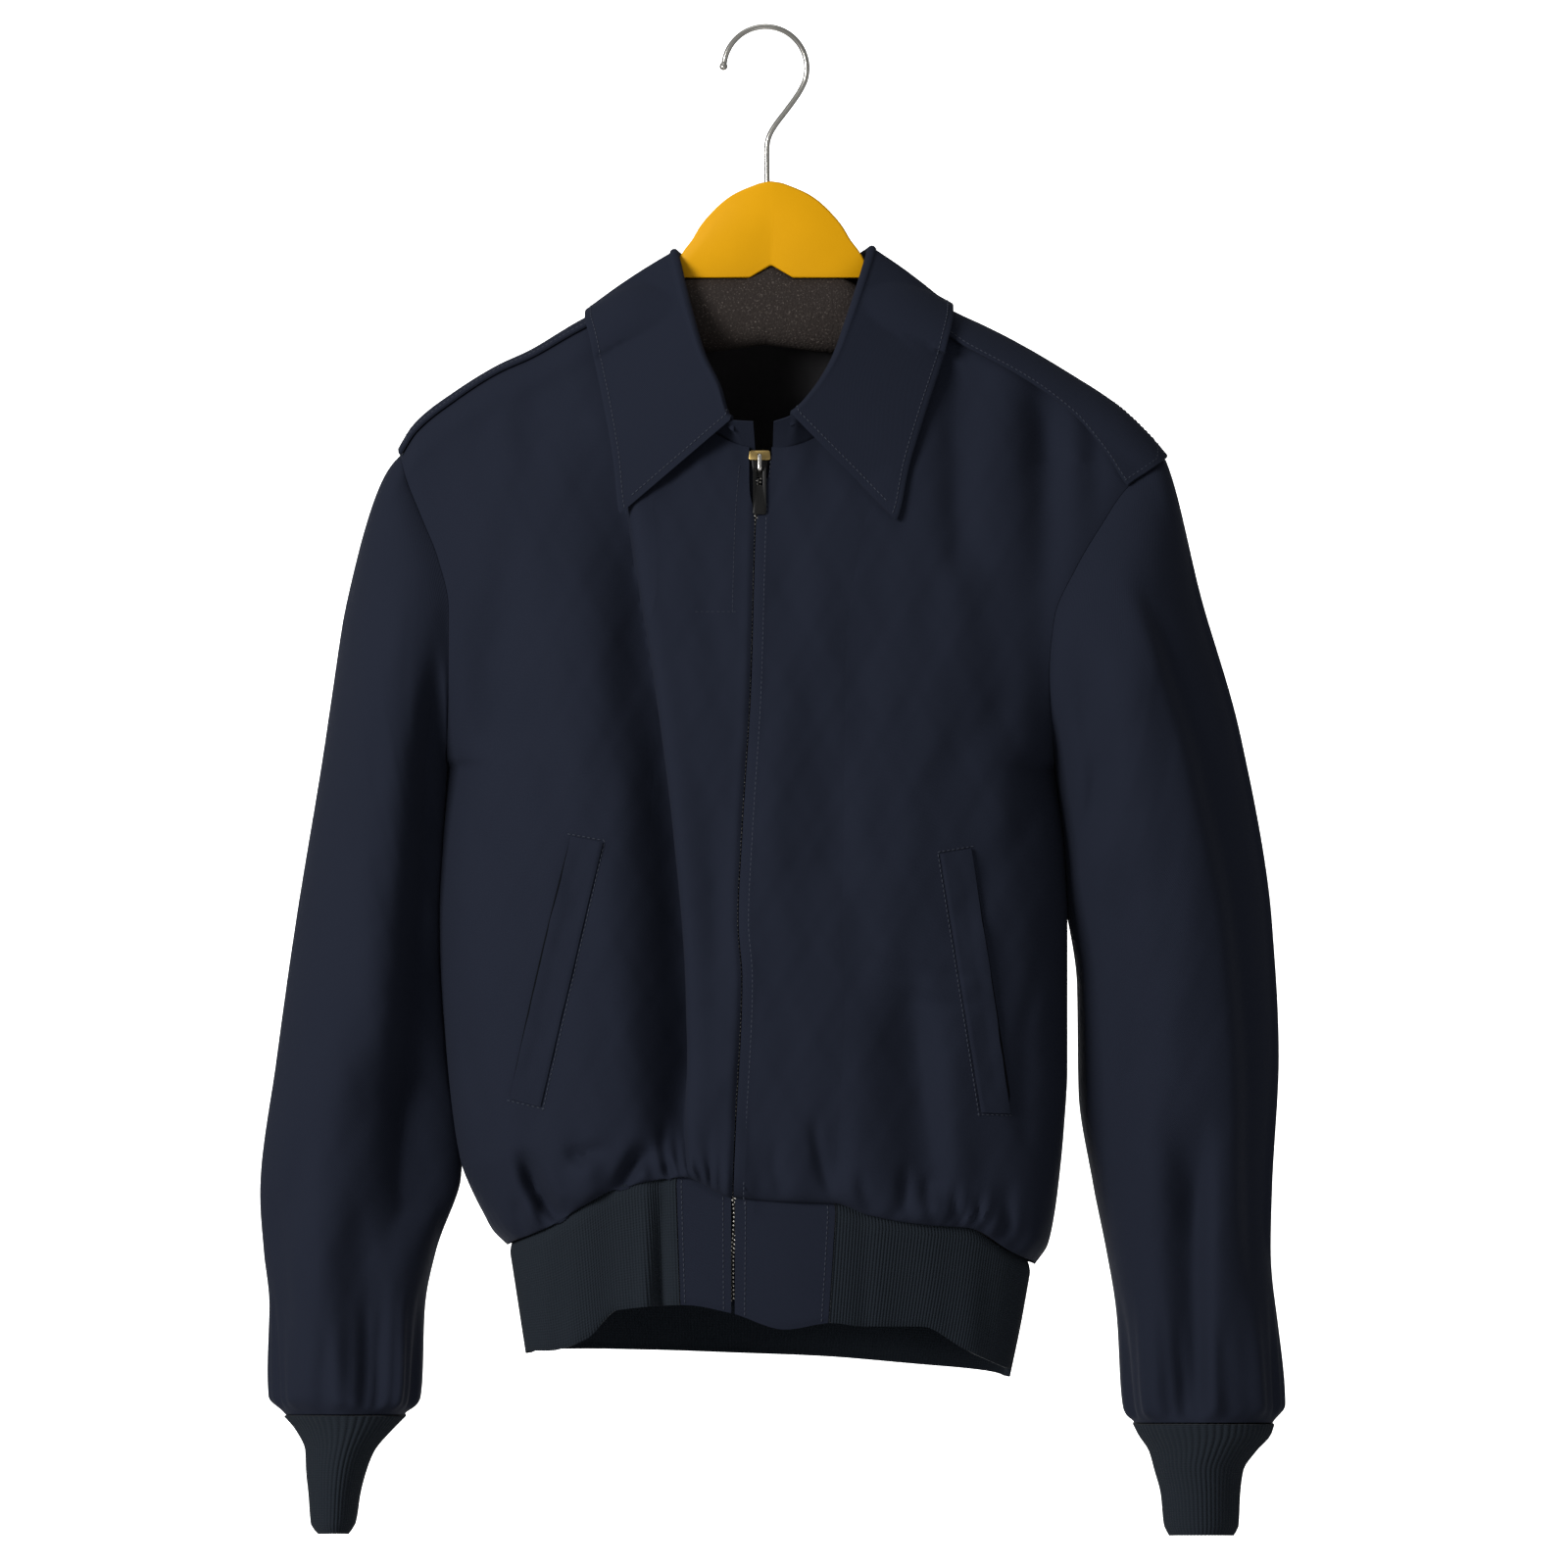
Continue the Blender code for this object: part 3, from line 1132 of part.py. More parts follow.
def build_arms(foam):
    """The foam bar: an arched middle under the crown and an arm under each shoulder."""
    stations = []
    for side in (-1, 1):
        end = ARM_END[side]
        out = np.concatenate(([0, 30, 46, 58, 68, 80], np.linspace(105, end - 8, 5), [end - 2.5, end]))
        shrink = np.concatenate((np.ones(len(out) - 2), [0.86, 0.5]))
        rows = [(side * o, o, s) for o, s in zip(out, shrink)]
        stations += rows[:0:-1] if side < 0 else rows
    around = np.linspace(0, 2 * math.pi, 12, endpoint=False)
    vertices = []
    for x, out, shrink in stations:
        side = 1 if x > 0 else -1
        top, height, half = (float(column(ARM, "out", name, out)) for name in ("top", "height", "half"))
        if out > 60:
            slope = (shoulder_z(side, x + side * 2) - shoulder_z(side, x - side * 2)) / 4
            limit = shoulder_z(side, x) - (CLOTH + ARM_CLEAR) * math.hypot(1, slope)
            top = min(top, limit) if out < 90 else limit
        for angle in around:
            wide, tall = math.cos(angle), math.sin(angle)
            y = half * shrink * math.copysign(abs(wide) ** 0.8, wide)
            z = top - height / 2 + height / 2 * shrink * math.copysign(abs(tall) ** 0.8, tall)
            vertices.append((x, y, z))
    count = len(around)
    faces = [tuple(range(count)), tuple(range(len(vertices) - count, len(vertices)))]
    for s in range(len(stations) - 1):
        for i in range(count):
            j = (i + 1) % count
            faces.append((s * count + i, s * count + j, (s + 1) * count + j, (s + 1) * count + i))
    make("hanger_arms", vertices, faces, foam)


def build():
    navy = paint("navy cloth", (0.016, 0.020, 0.034), 0.9)
    knit = paint("navy knit", (0.011, 0.014, 0.019), 0.95)
    tape_cloth = paint("zip tape", (0.012, 0.014, 0.022), 0.9)
    dark_metal = paint("dark metal", (0.02, 0.02, 0.02), 0.35, 1.0)
    chrome = paint("chrome", (0.80, 0.79, 0.77), 0.12, 1.0)
    yellow = paint("yellow plastic", (0.78, 0.38, 0.01), 0.4)
    foam = paint("black foam", (0.03, 0.026, 0.024), 0.95)
    build_fronts(navy)
    build_back(navy)
    build_sleeves(navy)
    build_collar(navy)
    build_straps(navy)
    build_welts(navy)
    build_band(navy, knit)
    build_cuffs(knit)
    build_tape(tape_cloth)
    build_slider(dark_metal)
    build_hook(chrome)
    build_crown(yellow)
    build_arms(foam)


for leftover in list(bpy.data.objects):
    bpy.data.objects.remove(leftover, do_unlink=True)
JACKET = bpy.data.collections.new("utility jacket on hanger")
CUTTERS = bpy.data.collections.new("cutters")
for collection in (JACKET, CUTTERS):
    bpy.context.scene.collection.children.link(collection)
build()
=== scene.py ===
"""Utility jacket hanging on its hanger.

The sections follow the garment as it is put together: hanger, fronts, back, sleeves, waistband, cuffs,
collar, straps, pocket welts, zip and sewing. Sizes are in millimetres, as they are seen from the camera
in the plane of the hook. placed() draws what hangs nearer toward the line of sight and turns it into
metres. The origin is the inner top of the hook, the front faces -Y, and side -1 is the viewer's left.
"""
import math

import bmesh
import bpy
import numpy as np
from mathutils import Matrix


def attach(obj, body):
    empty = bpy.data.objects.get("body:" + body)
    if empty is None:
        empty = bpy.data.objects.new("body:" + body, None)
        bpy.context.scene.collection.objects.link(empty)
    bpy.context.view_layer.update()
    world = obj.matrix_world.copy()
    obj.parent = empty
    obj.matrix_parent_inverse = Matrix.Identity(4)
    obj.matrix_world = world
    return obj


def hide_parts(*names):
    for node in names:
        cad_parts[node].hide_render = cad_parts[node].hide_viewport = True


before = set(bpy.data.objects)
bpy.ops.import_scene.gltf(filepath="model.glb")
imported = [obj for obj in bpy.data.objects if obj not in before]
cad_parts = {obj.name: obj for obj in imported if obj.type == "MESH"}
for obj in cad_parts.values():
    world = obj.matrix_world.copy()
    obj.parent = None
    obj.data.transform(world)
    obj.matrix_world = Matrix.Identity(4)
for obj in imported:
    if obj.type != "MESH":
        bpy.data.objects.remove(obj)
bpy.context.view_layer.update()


# Camera, paper sweep and lamps
# The jacket hangs before a white paper sweep and is seen level from three metres. Four soft lamps light
# it: a strong one on the viewer's left, and weak ones on the right, from below and from above.
EYE = (11.4, -3000.0, -462.0)
lens = bpy.data.cameras.new("camera")
lens.sensor_width = 36.0
lens.lens = 112.5
camera = bpy.data.objects.new("camera", lens)
camera.location = [value * 0.001 for value in EYE]
camera.rotation_euler = (math.radians(90), 0, 0)
bpy.context.scene.collection.objects.link(camera)
bpy.context.scene.camera = camera


def node(tree, kind, **values):
    """A node. Values go to its sockets where it has them, and to its settings otherwise."""
    made = tree.nodes.new(kind if "Node" in kind else "ShaderNode" + kind)
    for key, value in values.items():
        socket = made.inputs.get(key.replace("_", " "))
        if socket is not None:
            socket.default_value = value
        else:
            setattr(made, key, value)
    return made


def wire(tree, *links):
    """Links, each given as a node, its output, a node and its input."""
    for source, output, target, socket in links:
        tree.links.new(source.outputs[output], target.inputs[socket])


def surface_material(name, colour, roughness, metallic=0.0, **values):
    """A Principled material, its tree and its shader."""
    material = bpy.data.materials.new(name)
    material.use_nodes = True
    tree = material.node_tree
    shader = tree.nodes["Principled BSDF"]
    settings = {"Base_Color": (*colour, 1.0), "Roughness": roughness, "Metallic": metallic, **values}
    for key, value in settings.items():
        shader.inputs[key.replace("_", " ")].default_value = value
    return material, tree, shader


def mapped(tree, space, *textures):
    """Lays textures out by Object coordinates or by UV."""
    place = node(tree, "UVMap" if space == "UV" else "TexCoord")
    wire(tree, *[(place, space, texture, "Vector") for texture in textures])


def toned(tree, shader, texture, dark, light, output="Fac"):
    """Colours a surface between two tones by a texture."""
    tone = node(tree, "Mix", data_type="RGBA")
    tone.inputs[6].default_value = (*dark, 1.0)
    tone.inputs[7].default_value = (*light, 1.0)
    wire(tree, (texture, output, tone, 0), (tone, 2, shader, "Base Color"))


def bumped(tree, shader, texture, strength, distance, output="Fac"):
    """Raises a surface by a texture."""
    lift = node(tree, "Bump", Strength=strength, Distance=distance)
    wire(tree, (texture, output, lift, "Height"), (lift, "Normal", shader, "Normal"))


def scuffed(tree, shader, low, high, **noise):
    """Varies a surface's roughness between two values."""
    worn = node(tree, "TexNoise", **noise)
    rough = node(tree, "MapRange", To_Min=low, To_Max=high)
    mapped(tree, "Object", worn)
    wire(tree, (worn, "Fac", rough, "Value"), (rough, "Result", shader, "Roughness"))


# The sweep's profile runs from the front of the floor up the wall behind, in metres.
WHITE = (1.0, 1.0, 1.0, 1.0)
FLOOR_Z = -1.2
WALL_Y = 1.5
BEND = 0.7
turns = np.radians(np.arange(-90, 1, 6))
bent = [(WALL_Y - BEND + BEND * math.cos(a), FLOOR_Z + BEND + BEND * math.sin(a)) for a in turns]
profile = [(0.4, FLOOR_Z), *bent, (WALL_Y, 0.5)]
corners = [(x, y, z) for y, z in profile for x in (-0.98, 1.0)]
strips = [(2 * i, 2 * i + 1, 2 * i + 3, 2 * i + 2) for i in range(len(profile) - 1)]
sweep_mesh = bpy.data.meshes.new("paper_sweep")
sweep_mesh.from_pydata(corners, [], strips)
sweep_mesh.shade_smooth()
paper, tree, shader = surface_material("white paper", (0.9, 0.9, 0.9), 0.9, Emission_Strength=1.1,
                                       Emission_Color=WHITE)
grain = node(tree, "TexNoise", Scale=900.0, Detail=2.0)
mapped(tree, "Object", grain)
bumped(tree, shader, grain, 0.05, 0.001)
sweep_mesh.materials.append(paper)
sweep = bpy.data.objects.new("paper_sweep", sweep_mesh)
bpy.context.scene.collection.objects.link(sweep)

# Each lamp's place, its width and its power. All are turned to the middle of the jacket.
LAMPS = {
    "key_lamp": ((-2.5, -2.65, 0.45), 1.4, 148.0),
    "fill_lamp": ((2.4, -2.6, -0.5), 2.2, 6.5),
    "low_lamp": ((0.2, -2.0, -1.9), 1.2, 8.0),
    "top_lamp": ((-0.3, -0.5, 2.4), 1.6, 10.0),
}
for name, (place, across, power) in LAMPS.items():
    light = bpy.data.lights.new(name, "AREA")
    light.shape = "SQUARE"
    light.size = across
    light.energy = power
    lamp = bpy.data.objects.new(name, light)
    lamp.location = place
    away = np.array([0.0, 0.0, -0.45]) - np.array(place)
    turn = math.atan2(away[0], away[1])
    lamp.rotation_euler = (math.pi / 2 + math.atan2(away[2], math.hypot(away[0], away[1])), 0, -turn)
    bpy.context.scene.collection.objects.link(lamp)
sky = bpy.data.worlds.new("studio air")
sky.use_nodes = True
sky.node_tree.nodes["Background"].inputs["Color"].default_value = WHITE
sky.node_tree.nodes["Background"].inputs["Strength"].default_value = 0.25
bpy.context.scene.view_settings.view_transform = "Standard"
bpy.context.scene.world = sky


# Hanger hook
# One chromed wire, a little over 3 mm thick. It ends in a small ball, runs three quarters of a
# circle, sweeps back under the middle and goes straight down into the crown.
WIRE_RADIUS = 1.7
HOOK_RADIUS = 25.4
HOOK_Z = WIRE_RADIUS - HOOK_RADIUS
BALL_RADIUS = 2.5
HOOK_LEG = (
    (20.8, -38.4), (16.6, -44.6), (11.8, -51.0), (7.2, -57.0), (3.6, -62.6), (1.6, -67.6), (0.9, -73.0),
    (0.9, -80.0), (1.0, -90.0), (1.2, -98.5),
)


def nearness(y):
    """The share of the distance from the line of sight that is left to what hangs in front of y = 0."""
    return 1 - np.minimum(y, 0.0) / EYE[1]


def placed(points):
    """Points as seen, in millimetres, drawn toward the line of sight in front of y = 0, in metres."""
    points = np.array(points, float)
    near = nearness(points[..., 1])
    for axis in (0, 2):
        points[..., axis] = EYE[axis] + (points[..., axis] - EYE[axis]) * near
    return points * 0.001


def smooth(places, values, at):
    """A smooth curve through values at places. It never overshoots, and it is flat past its ends."""
    places = np.asarray(places, float)
    values = np.asarray(values, float)
    step = np.diff(places)
    slope = np.diff(values) / step
    tangent = np.concatenate(([slope[0]], np.zeros(len(places) - 2), [slope[-1]]))
    for i in range(1, len(places) - 1):
        if slope[i - 1] * slope[i] > 0:
            tangent[i] = 2 * slope[i - 1] * slope[i] / (slope[i - 1] + slope[i])
    at = np.clip(at, places[0], places[-1])
    i = np.clip(np.searchsorted(places, at, side="right") - 1, 0, len(places) - 2)
    s = (at - places[i]) / step[i]
    rise = values[i] * (1 + 2 * s) * (1 - s) ** 2 + values[i + 1] * s * s * (3 - 2 * s)
    return rise + step[i] * s * (1 - s) * (tangent[i] * (1 - s) - tangent[i + 1] * s)


def finished(mesh, material, angle, body="garment"):
    """A mesh as a piece: faces turned outward, smooth up to an angle, riding on its body."""
    shell = bmesh.new()
    shell.from_mesh(mesh)
    bmesh.ops.recalc_face_normals(shell, faces=shell.faces)
    shell.to_mesh(mesh)
    shell.free()
    mesh.shade_smooth()
    mesh.set_sharp_from_angle(angle=math.radians(angle))
    mesh.materials.append(material)
    piece = bpy.data.objects.new(mesh.name, mesh)
    bpy.context.scene.collection.objects.link(piece)
    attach(piece, body)
    return piece


def mesh_object(name, points, faces, material, body="garment"):
    """A piece from points in metres and faces."""
    mesh = bpy.data.meshes.new(name)
    mesh.from_pydata(points.reshape(-1, 3).tolist(), [], [tuple(map(int, face)) for face in faces])
    return finished(mesh, material, 45, body)


def ring_faces(rings, around, caps=True):
    """Quads from ring to ring of points, and a face on each end."""
    faces = []
    for r in range(rings - 1):
        for i in range(around):
            j = (i + 1) % around
            faces.append((r * around + i, r * around + j, (r + 1) * around + j, (r + 1) * around + i))
    if caps:
        faces += [range(around), range((rings - 1) * around, rings * around)]
    return faces


def tube(name, path, radii, sides, material):
    """A round bar along a path in the x-z plane, with a radius for each point and closed ends."""
    along = np.gradient(path, axis=0)
    along = along / np.linalg.norm(along, axis=1, keepdims=True)
    side = np.stack((-along[:, 2], 0 * along[:, 0], along[:, 0]), axis=-1)
    angles = np.linspace(0, 2 * math.pi, sides, endpoint=False)
    ring = side[:, None] * np.cos(angles)[None, :, None]
    ring = ring + np.array([0.0, 1.0, 0.0]) * np.sin(angles)[None, :, None]
    points = path[:, None] + ring * radii[:, None, None]
    return mesh_object(name, placed(points), ring_faces(len(path), sides), material)


def hook_path():
    """The wire's middle line, from the ball's end to the crown. It runs softly through its points."""
    circle = [(HOOK_RADIUS * math.cos(a), HOOK_Z + HOOK_RADIUS * math.sin(a))
              for a in np.radians(np.arange(172, -21, -8))]
    knots = np.array(circle + list(HOOK_LEG))
    ends = np.concatenate(([2 * knots[0] - knots[1]], knots, [2 * knots[-1] - knots[-2]]))
    route = []
    for i in range(len(knots) - 1):
        p, q, r, s = ends[i:i + 4]
        for t in np.arange(0, 1, 0.25):
            route.append(q + 0.5 * t * (r - p + t * (2 * p - 5 * q + 4 * r - s + t * (3 * (q - r) + s - p))))
    route = np.array(route + [knots[-1]])
    return np.stack((route[:, 0], 0 * route[:, 0], route[:, 1]), axis=-1)


chrome, tree, shader = surface_material("polished chrome", (0.38, 0.37, 0.34), 0.2, 0.8,
                                        Specular_Tint=(0.04, 0.04, 0.04, 1.0))
scuffed(tree, shader, 0.16, 0.30, Scale=420.0, Detail=4.0)
wire_line = hook_path()
start = wire_line[0]
onward = (start - wire_line[1]) / np.linalg.norm(start - wire_line[1])
angles = np.linspace(0.12, math.pi - math.asin(WIRE_RADIUS / BALL_RADIUS), 14)
ball_line = start + onward * (BALL_RADIUS * (1.0 + np.cos(angles)))[:, None]
wire_radii = np.concatenate((BALL_RADIUS * np.sin(angles), np.full(len(wire_line) - 1, WIRE_RADIUS)))
wire_line = np.concatenate((ball_line, wire_line[1:]))
hook = tube("hook_wire", wire_line, wire_radii, 20, chrome)
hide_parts("hanger_hook")


# Hanger crown
# A domed plate of yellow plastic under the hook. It is slightly ridged down its middle, rounded at its
# edges, and notched below.
CROWN_X = 3.6
CROWN_OUT = (0, 6, 12.3, 20.7, 26.7, 31.2, 38.4, 44.1, 48.3, 53.7, 57.6, 58.4)
CROWN_TOP = (-92.9, -93.8, -96, -99.6, -103.2, -106.8, -114, -121.2, -128.4, -135.6, -142.6, -146)
CROWN_BOTTOM = -152.1
CROWN_THICK = 12.0
CROWN_RIDGE = 2.0
NOTCH_HALF = 13.0
NOTCH_RISE = 7.5
CROWN_MIDDLE = (0.0, -128.0)


def crown_outline():
    """The crown's edge seen from the front, clockwise from the middle of its top."""
    out = CROWN_OUT[-1] * np.sin(np.linspace(0, math.pi / 2, 34))
    half = list(zip(out, smooth(CROWN_OUT, CROWN_TOP, out))) + [(58.6, -149.0), (57.4, CROWN_BOTTOM)]
    notch = [(NOTCH_HALF + 0.8, CROWN_BOTTOM), (NOTCH_HALF - 0.6, CROWN_BOTTOM + 0.6),
             (1.4, CROWN_BOTTOM + NOTCH_RISE - 0.5), (0, CROWN_BOTTOM + NOTCH_RISE)]
    right = half + notch
    return right + [(-x, z) for x, z in right[-2:0:-1]]


yellow, tree, shader = surface_material("yellow plastic", (0.66, 0.318, 0.002), 0.5, Specular_IOR_Level=0.1)
mottle = node(tree, "TexNoise", Scale=38.0, Detail=3.0)
peel = node(tree, "TexNoise", Scale=700.0, Detail=2.0)
mapped(tree, "Object", mottle, peel)
toned(tree, shader, mottle, (0.63, 0.302, 0.0015), (0.70, 0.337, 0.0025))
bumped(tree, shader, peel, 0.12, 0.0004)
edge = np.array(crown_outline())
ridge = CROWN_RIDGE * (1 - np.abs(edge[:, 0]) / 60)
toward = edge - CROWN_MIDDLE
toward = toward / np.linalg.norm(toward, axis=1, keepdims=True)
points = []
for depth, inset in ((0.0, 1.5), (0.5, 0.45), (1.5, 0.0), (CROWN_THICK - 1.5, 0.0), (CROWN_THICK - 0.5, 0.45),
                     (CROWN_THICK, 1.5)):
    inner = edge - toward * inset
    y = depth - CROWN_THICK / 2 - ridge
    points.append(np.stack((inner[:, 0] + CROWN_X, y, inner[:, 1]), axis=-1))
count = len(edge)
faces = ring_faces(len(points), count, caps=False)
for first in (0, (len(points) - 1) * count):
    faces.append([first + i for i in range(count // 2 + 1)])
    faces.append([first + i % count for i in range(count // 2, count + 1)])
crown = mesh_object("crown_plate", placed(points), faces, yellow)
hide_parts("hanger_crown")


# Hanger arms
# A bar of black foam with pale specks. It arches under the crown and widens the shoulders of the hanger
# inside the jacket.
ARM_END = {-1: 209.0, 1: 226.0}
ARM_OUT = (0, 46, 58, 68, 80, 140, 226)
ARM_TOP = (-152.2, -152.4, -158, -166.5, -171, -204, -258)
ARM_HEIGHT = (41, 46, 44, 40, 40, 38, 28)
ARM_HALF = (16, 16, 15.5, 15, 15, 15, 13)
ARM_AROUND = 40
SHOULDER = {
    -1: ((0, 75, 112, 142, 163, 191, 213, 223.8), (-155, -162, -181, -198.5, -208, -226, -244, -261)),
    1: ((0, 75, 125, 161, 190, 216, 235, 245.4), (-155, -160, -181, -198.5, -216, -234, -252, -264)),
}


def shoulder_z(side, x):
    """The height of the jacket's shoulder line."""
    return smooth(*SHOULDER[side], side * x)


foam, tree, shader = surface_material("speckled foam", (0.026, 0.021, 0.019), 0.95, Specular_IOR_Level=0.1)
cells = node(tree, "TexVoronoi", Scale=620.0)
specks = node(tree, "TexNoise", Scale=850.0, Detail=3.0, Roughness=0.75)
chosen = node(tree, "MapRange", From_Min=0.58, From_Max=0.72)
mapped(tree, "Object", cells, specks)
wire(tree, (specks, "Fac", chosen, "Value"))
toned(tree, shader, chosen, (0.026, 0.021, 0.019), (0.14, 0.12, 0.105), "Result")
bumped(tree, shader, cells, 0.5, 0.0008, "Distance")
stations = []
for side in (-1, 1):
    end = ARM_END[side]
    out = np.concatenate((np.linspace(0, 90, 31), np.linspace(94, end - 8, 26), [end - 4.5, end - 2, end]))
    shrink = np.concatenate((np.ones(len(out) - 3), [0.94, 0.8, 0.5]))
    rows = [(side * o, o, s) for o, s in zip(out, shrink)]
    stations += rows[:0:-1] if side < 0 else rows
around = np.linspace(0, 2 * math.pi, ARM_AROUND, endpoint=False)
wide, tall = (np.sign(turn) * np.abs(turn) ** 0.8 for turn in (np.cos(around), np.sin(around)))
points = []
for x, out, shrink in stations:
    side = 1 if x > 0 else -1
    top, height, half = (float(smooth(ARM_OUT, column, out)) for column in (ARM_TOP, ARM_HEIGHT, ARM_HALF))
    if out > 60:
        slope = (shoulder_z(side, x + side * 2) - shoulder_z(side, x - side * 2)) / 4
        limit = shoulder_z(side, x) - 2.8 * math.hypot(1, slope)
        top = min(top, limit) if out < 90 else limit
    notch = np.clip(1.12 - abs(x - CROWN_X) / 12.6, 0, 1) * np.clip((tall - 0.55) / 0.45, 0, 1)
    y = half * shrink * wide * (1 - 0.35 * np.clip(notch * 2, 0, 1))
    z = top - height / 2 + height / 2 * shrink * tall + 9.4 * notch
    points.append(np.stack((np.full(ARM_AROUND, x), y, z), axis=-1))
arms = mesh_object("foam_arms", placed(points), ring_faces(len(points), ARM_AROUND), foam)
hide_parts("hanger_arms")


# Fronts
# Two pieces of dark navy twill, joined by the zip. They hang from the shoulders, fold under their own
# weight and are gathered into the waistband, over which they blouse.
CLOTH = 1.6
SEAM = 0.45
CENTRE_X = 2.4
NECK_HALF = 73.0
NECK_TOP_Z = -162.0
NECK_DROP = {"front": 94.0, "back": 22.0}
SHOULDER_ROUND = {"front": 22.0, "back": 25.0}
PIT_Z = -450.0
TIP_Z = {-1: -261.0, 1: -264.0}
HEM_Z = {-1: -744.0, 1: -756.0}
SIDE_CURVE = 2.6
ARMHOLE_OPEN = 0.84
ARMHOLE_DIP = 1.4
HEM_ROUND = 14.0
GATHER = 1.8
PUCKER = 1.7
ZIP_DIP = 1.3
LIP_LEAN = 7.0
TO_VIEWER = np.array([0.0, -1.0, 0.0])


def table(names, *rows):
    """Rows of numbers as columns that are read by name."""
    return dict(zip(names.split(), np.array(rows, float).T))


def look(columns, name, at):
    """A smooth reading of one column of a table, by the table's first column."""
    return smooth(next(iter(columns.values())), columns[name], at)


# The body's outline: the armhole above PIT_Z, the side below it.
EDGE = {
    -1: table(
        "z x",
        (-744, -158), (-735, -167), (-726, -172), (-708, -181), (-695, -186), (-663, -191.5), (-617, -196),
        (-572, -199), (-536, -200), (-499, -198.5), (-447, -195.5), (-404, -194), (-354, -194),
        (-324, -200.5), (-300, -210), (-275, -220), (-261, -223.8),
    ),
    1: table(
        "z x",
        (-756, 165), (-744, 173), (-726, 177), (-708, 179.5), (-672, 183), (-636, 185), (-548, 185),
        (-499, 183), (-447, 177), (-394, 174), (-360, 177), (-330, 190), (-303, 206), (-280, 222),
        (-270, 236), (-264, 245.4),
    ),
}
ZIP_LINE = table(
    "z x",
    (-800, -20), (-756, -21), (-726, -18.6), (-714, -19.8), (-678, -18.6), (-582, -14.4), (-546, -16.8),
    (-492, -14.4), (-402, -9), (-300, -6), (-261, -3),
)
ZIP_OPENING = table(
    "z half",
    (-800, 1.6), (-765, 1.2), (-735, 0.4), (-715, 0.35), (-304, 0.35), (-294, 1.6), (-284, 4.6), (-262, 7.0),
)
# The deepest fold, down the left front: its bottom's x, the half width of its slope and its depth.
TRENCH = table(
    "z x left depth",
    (-704, -50, 20, 0), (-692, -49, 22, 12), (-664, -48, 24, 27), (-630, -45.5, 26, 33),
    (-582, -46.5, 26, 34), (-492, -54, 25, 33), (-402, -66, 27, 30), (-340, -77, 27, 25),
    (-305, -83, 27, 19), (-270, -90, 28, 9), (-240, -95, 28, 0),
)
# How much deeper than the round of the shoulder the cloth stands, by the drop below the shoulder line.
SWELL = table(
    "drop front back",
    (0, 0, 0), (22, 2, 3), (45, 9, 13), (68, 18, 23), (100, 30, 35), (150, 43, 46), (200, 52, 54),
    (260, 60, 59), (340, 65, 62), (420, 67, 63), (500, 66, 62), (600, 64, 60),
)
# The seam between cloth and waistband, and the waistband's lower edge.
HEM = {
    "front": table(
        "x top bottom",
        (-158, -744, -809), (-133, -734, -809), (-110, -720, -802), (-90, -710, -784), (-50, -703, -781),
        (-21, -715, -786), (12, -718, -796), (41, -719, -792), (60, -726, -794), (95, -732, -794),
        (122, -734, -808), (149, -749, -820), (165, -756, -825),
    ),
    "back": table(
        "x top bottom",
        (-158, -744, -809), (-120, -746, -813), (-40, -750, -817), (40, -752, -820), (110, -755, -824),
        (165, -756, -825),
    ),
}
BAND_DEPTH = {"front": 79.0, "back": 81.0}
BAND_TOP_X = {-1: -156.0, 1: 162.0}
# Large folds: x at the top and at the bottom, the heights, half widths to each side, depth.
FOLDS = {
    "front": table(
        "x_top x_low z_top z_low left right depth",
        (-166, -166, -300, -440, 20, 16, 5),
        (170, 178, -186, -430, 13, 14, 13), (198, 204, -190, -296, 9, 7, 7), (112, 120, -150, -330, 9, 16, 4),
        (84, 104, -560, -716, 18, 11, 13),
        (44, 43, -640, -704, 12, 8, 5), (-118, -112, -650, -712, 10, 8, 5), (-92, -96, -650, -694, 8, 10, 4),
        (60, 40, -330, -520, 26, 26, 3), (136, 132, -640, -726, 12, 14, 5), (-30, -34, -430, -640, 12, 10, 3),
    ),
    "back": table(
        "x_top x_low z_top z_low left right depth",
        (-96, -70, -260, -700, 30, 18, 8), (92, 76, -270, -730, 18, 30, 8), (-12, 8, -420, -734, 22, 18, 6),
        (-132, -124, -560, -728, 14, 12, 6), (130, 128, -560, -736, 12, 14, 6),
        (36, 44, -640, -736, 10, 12, 4), (-44, -36, -640, -734, 12, 10, 4),
    ),
}
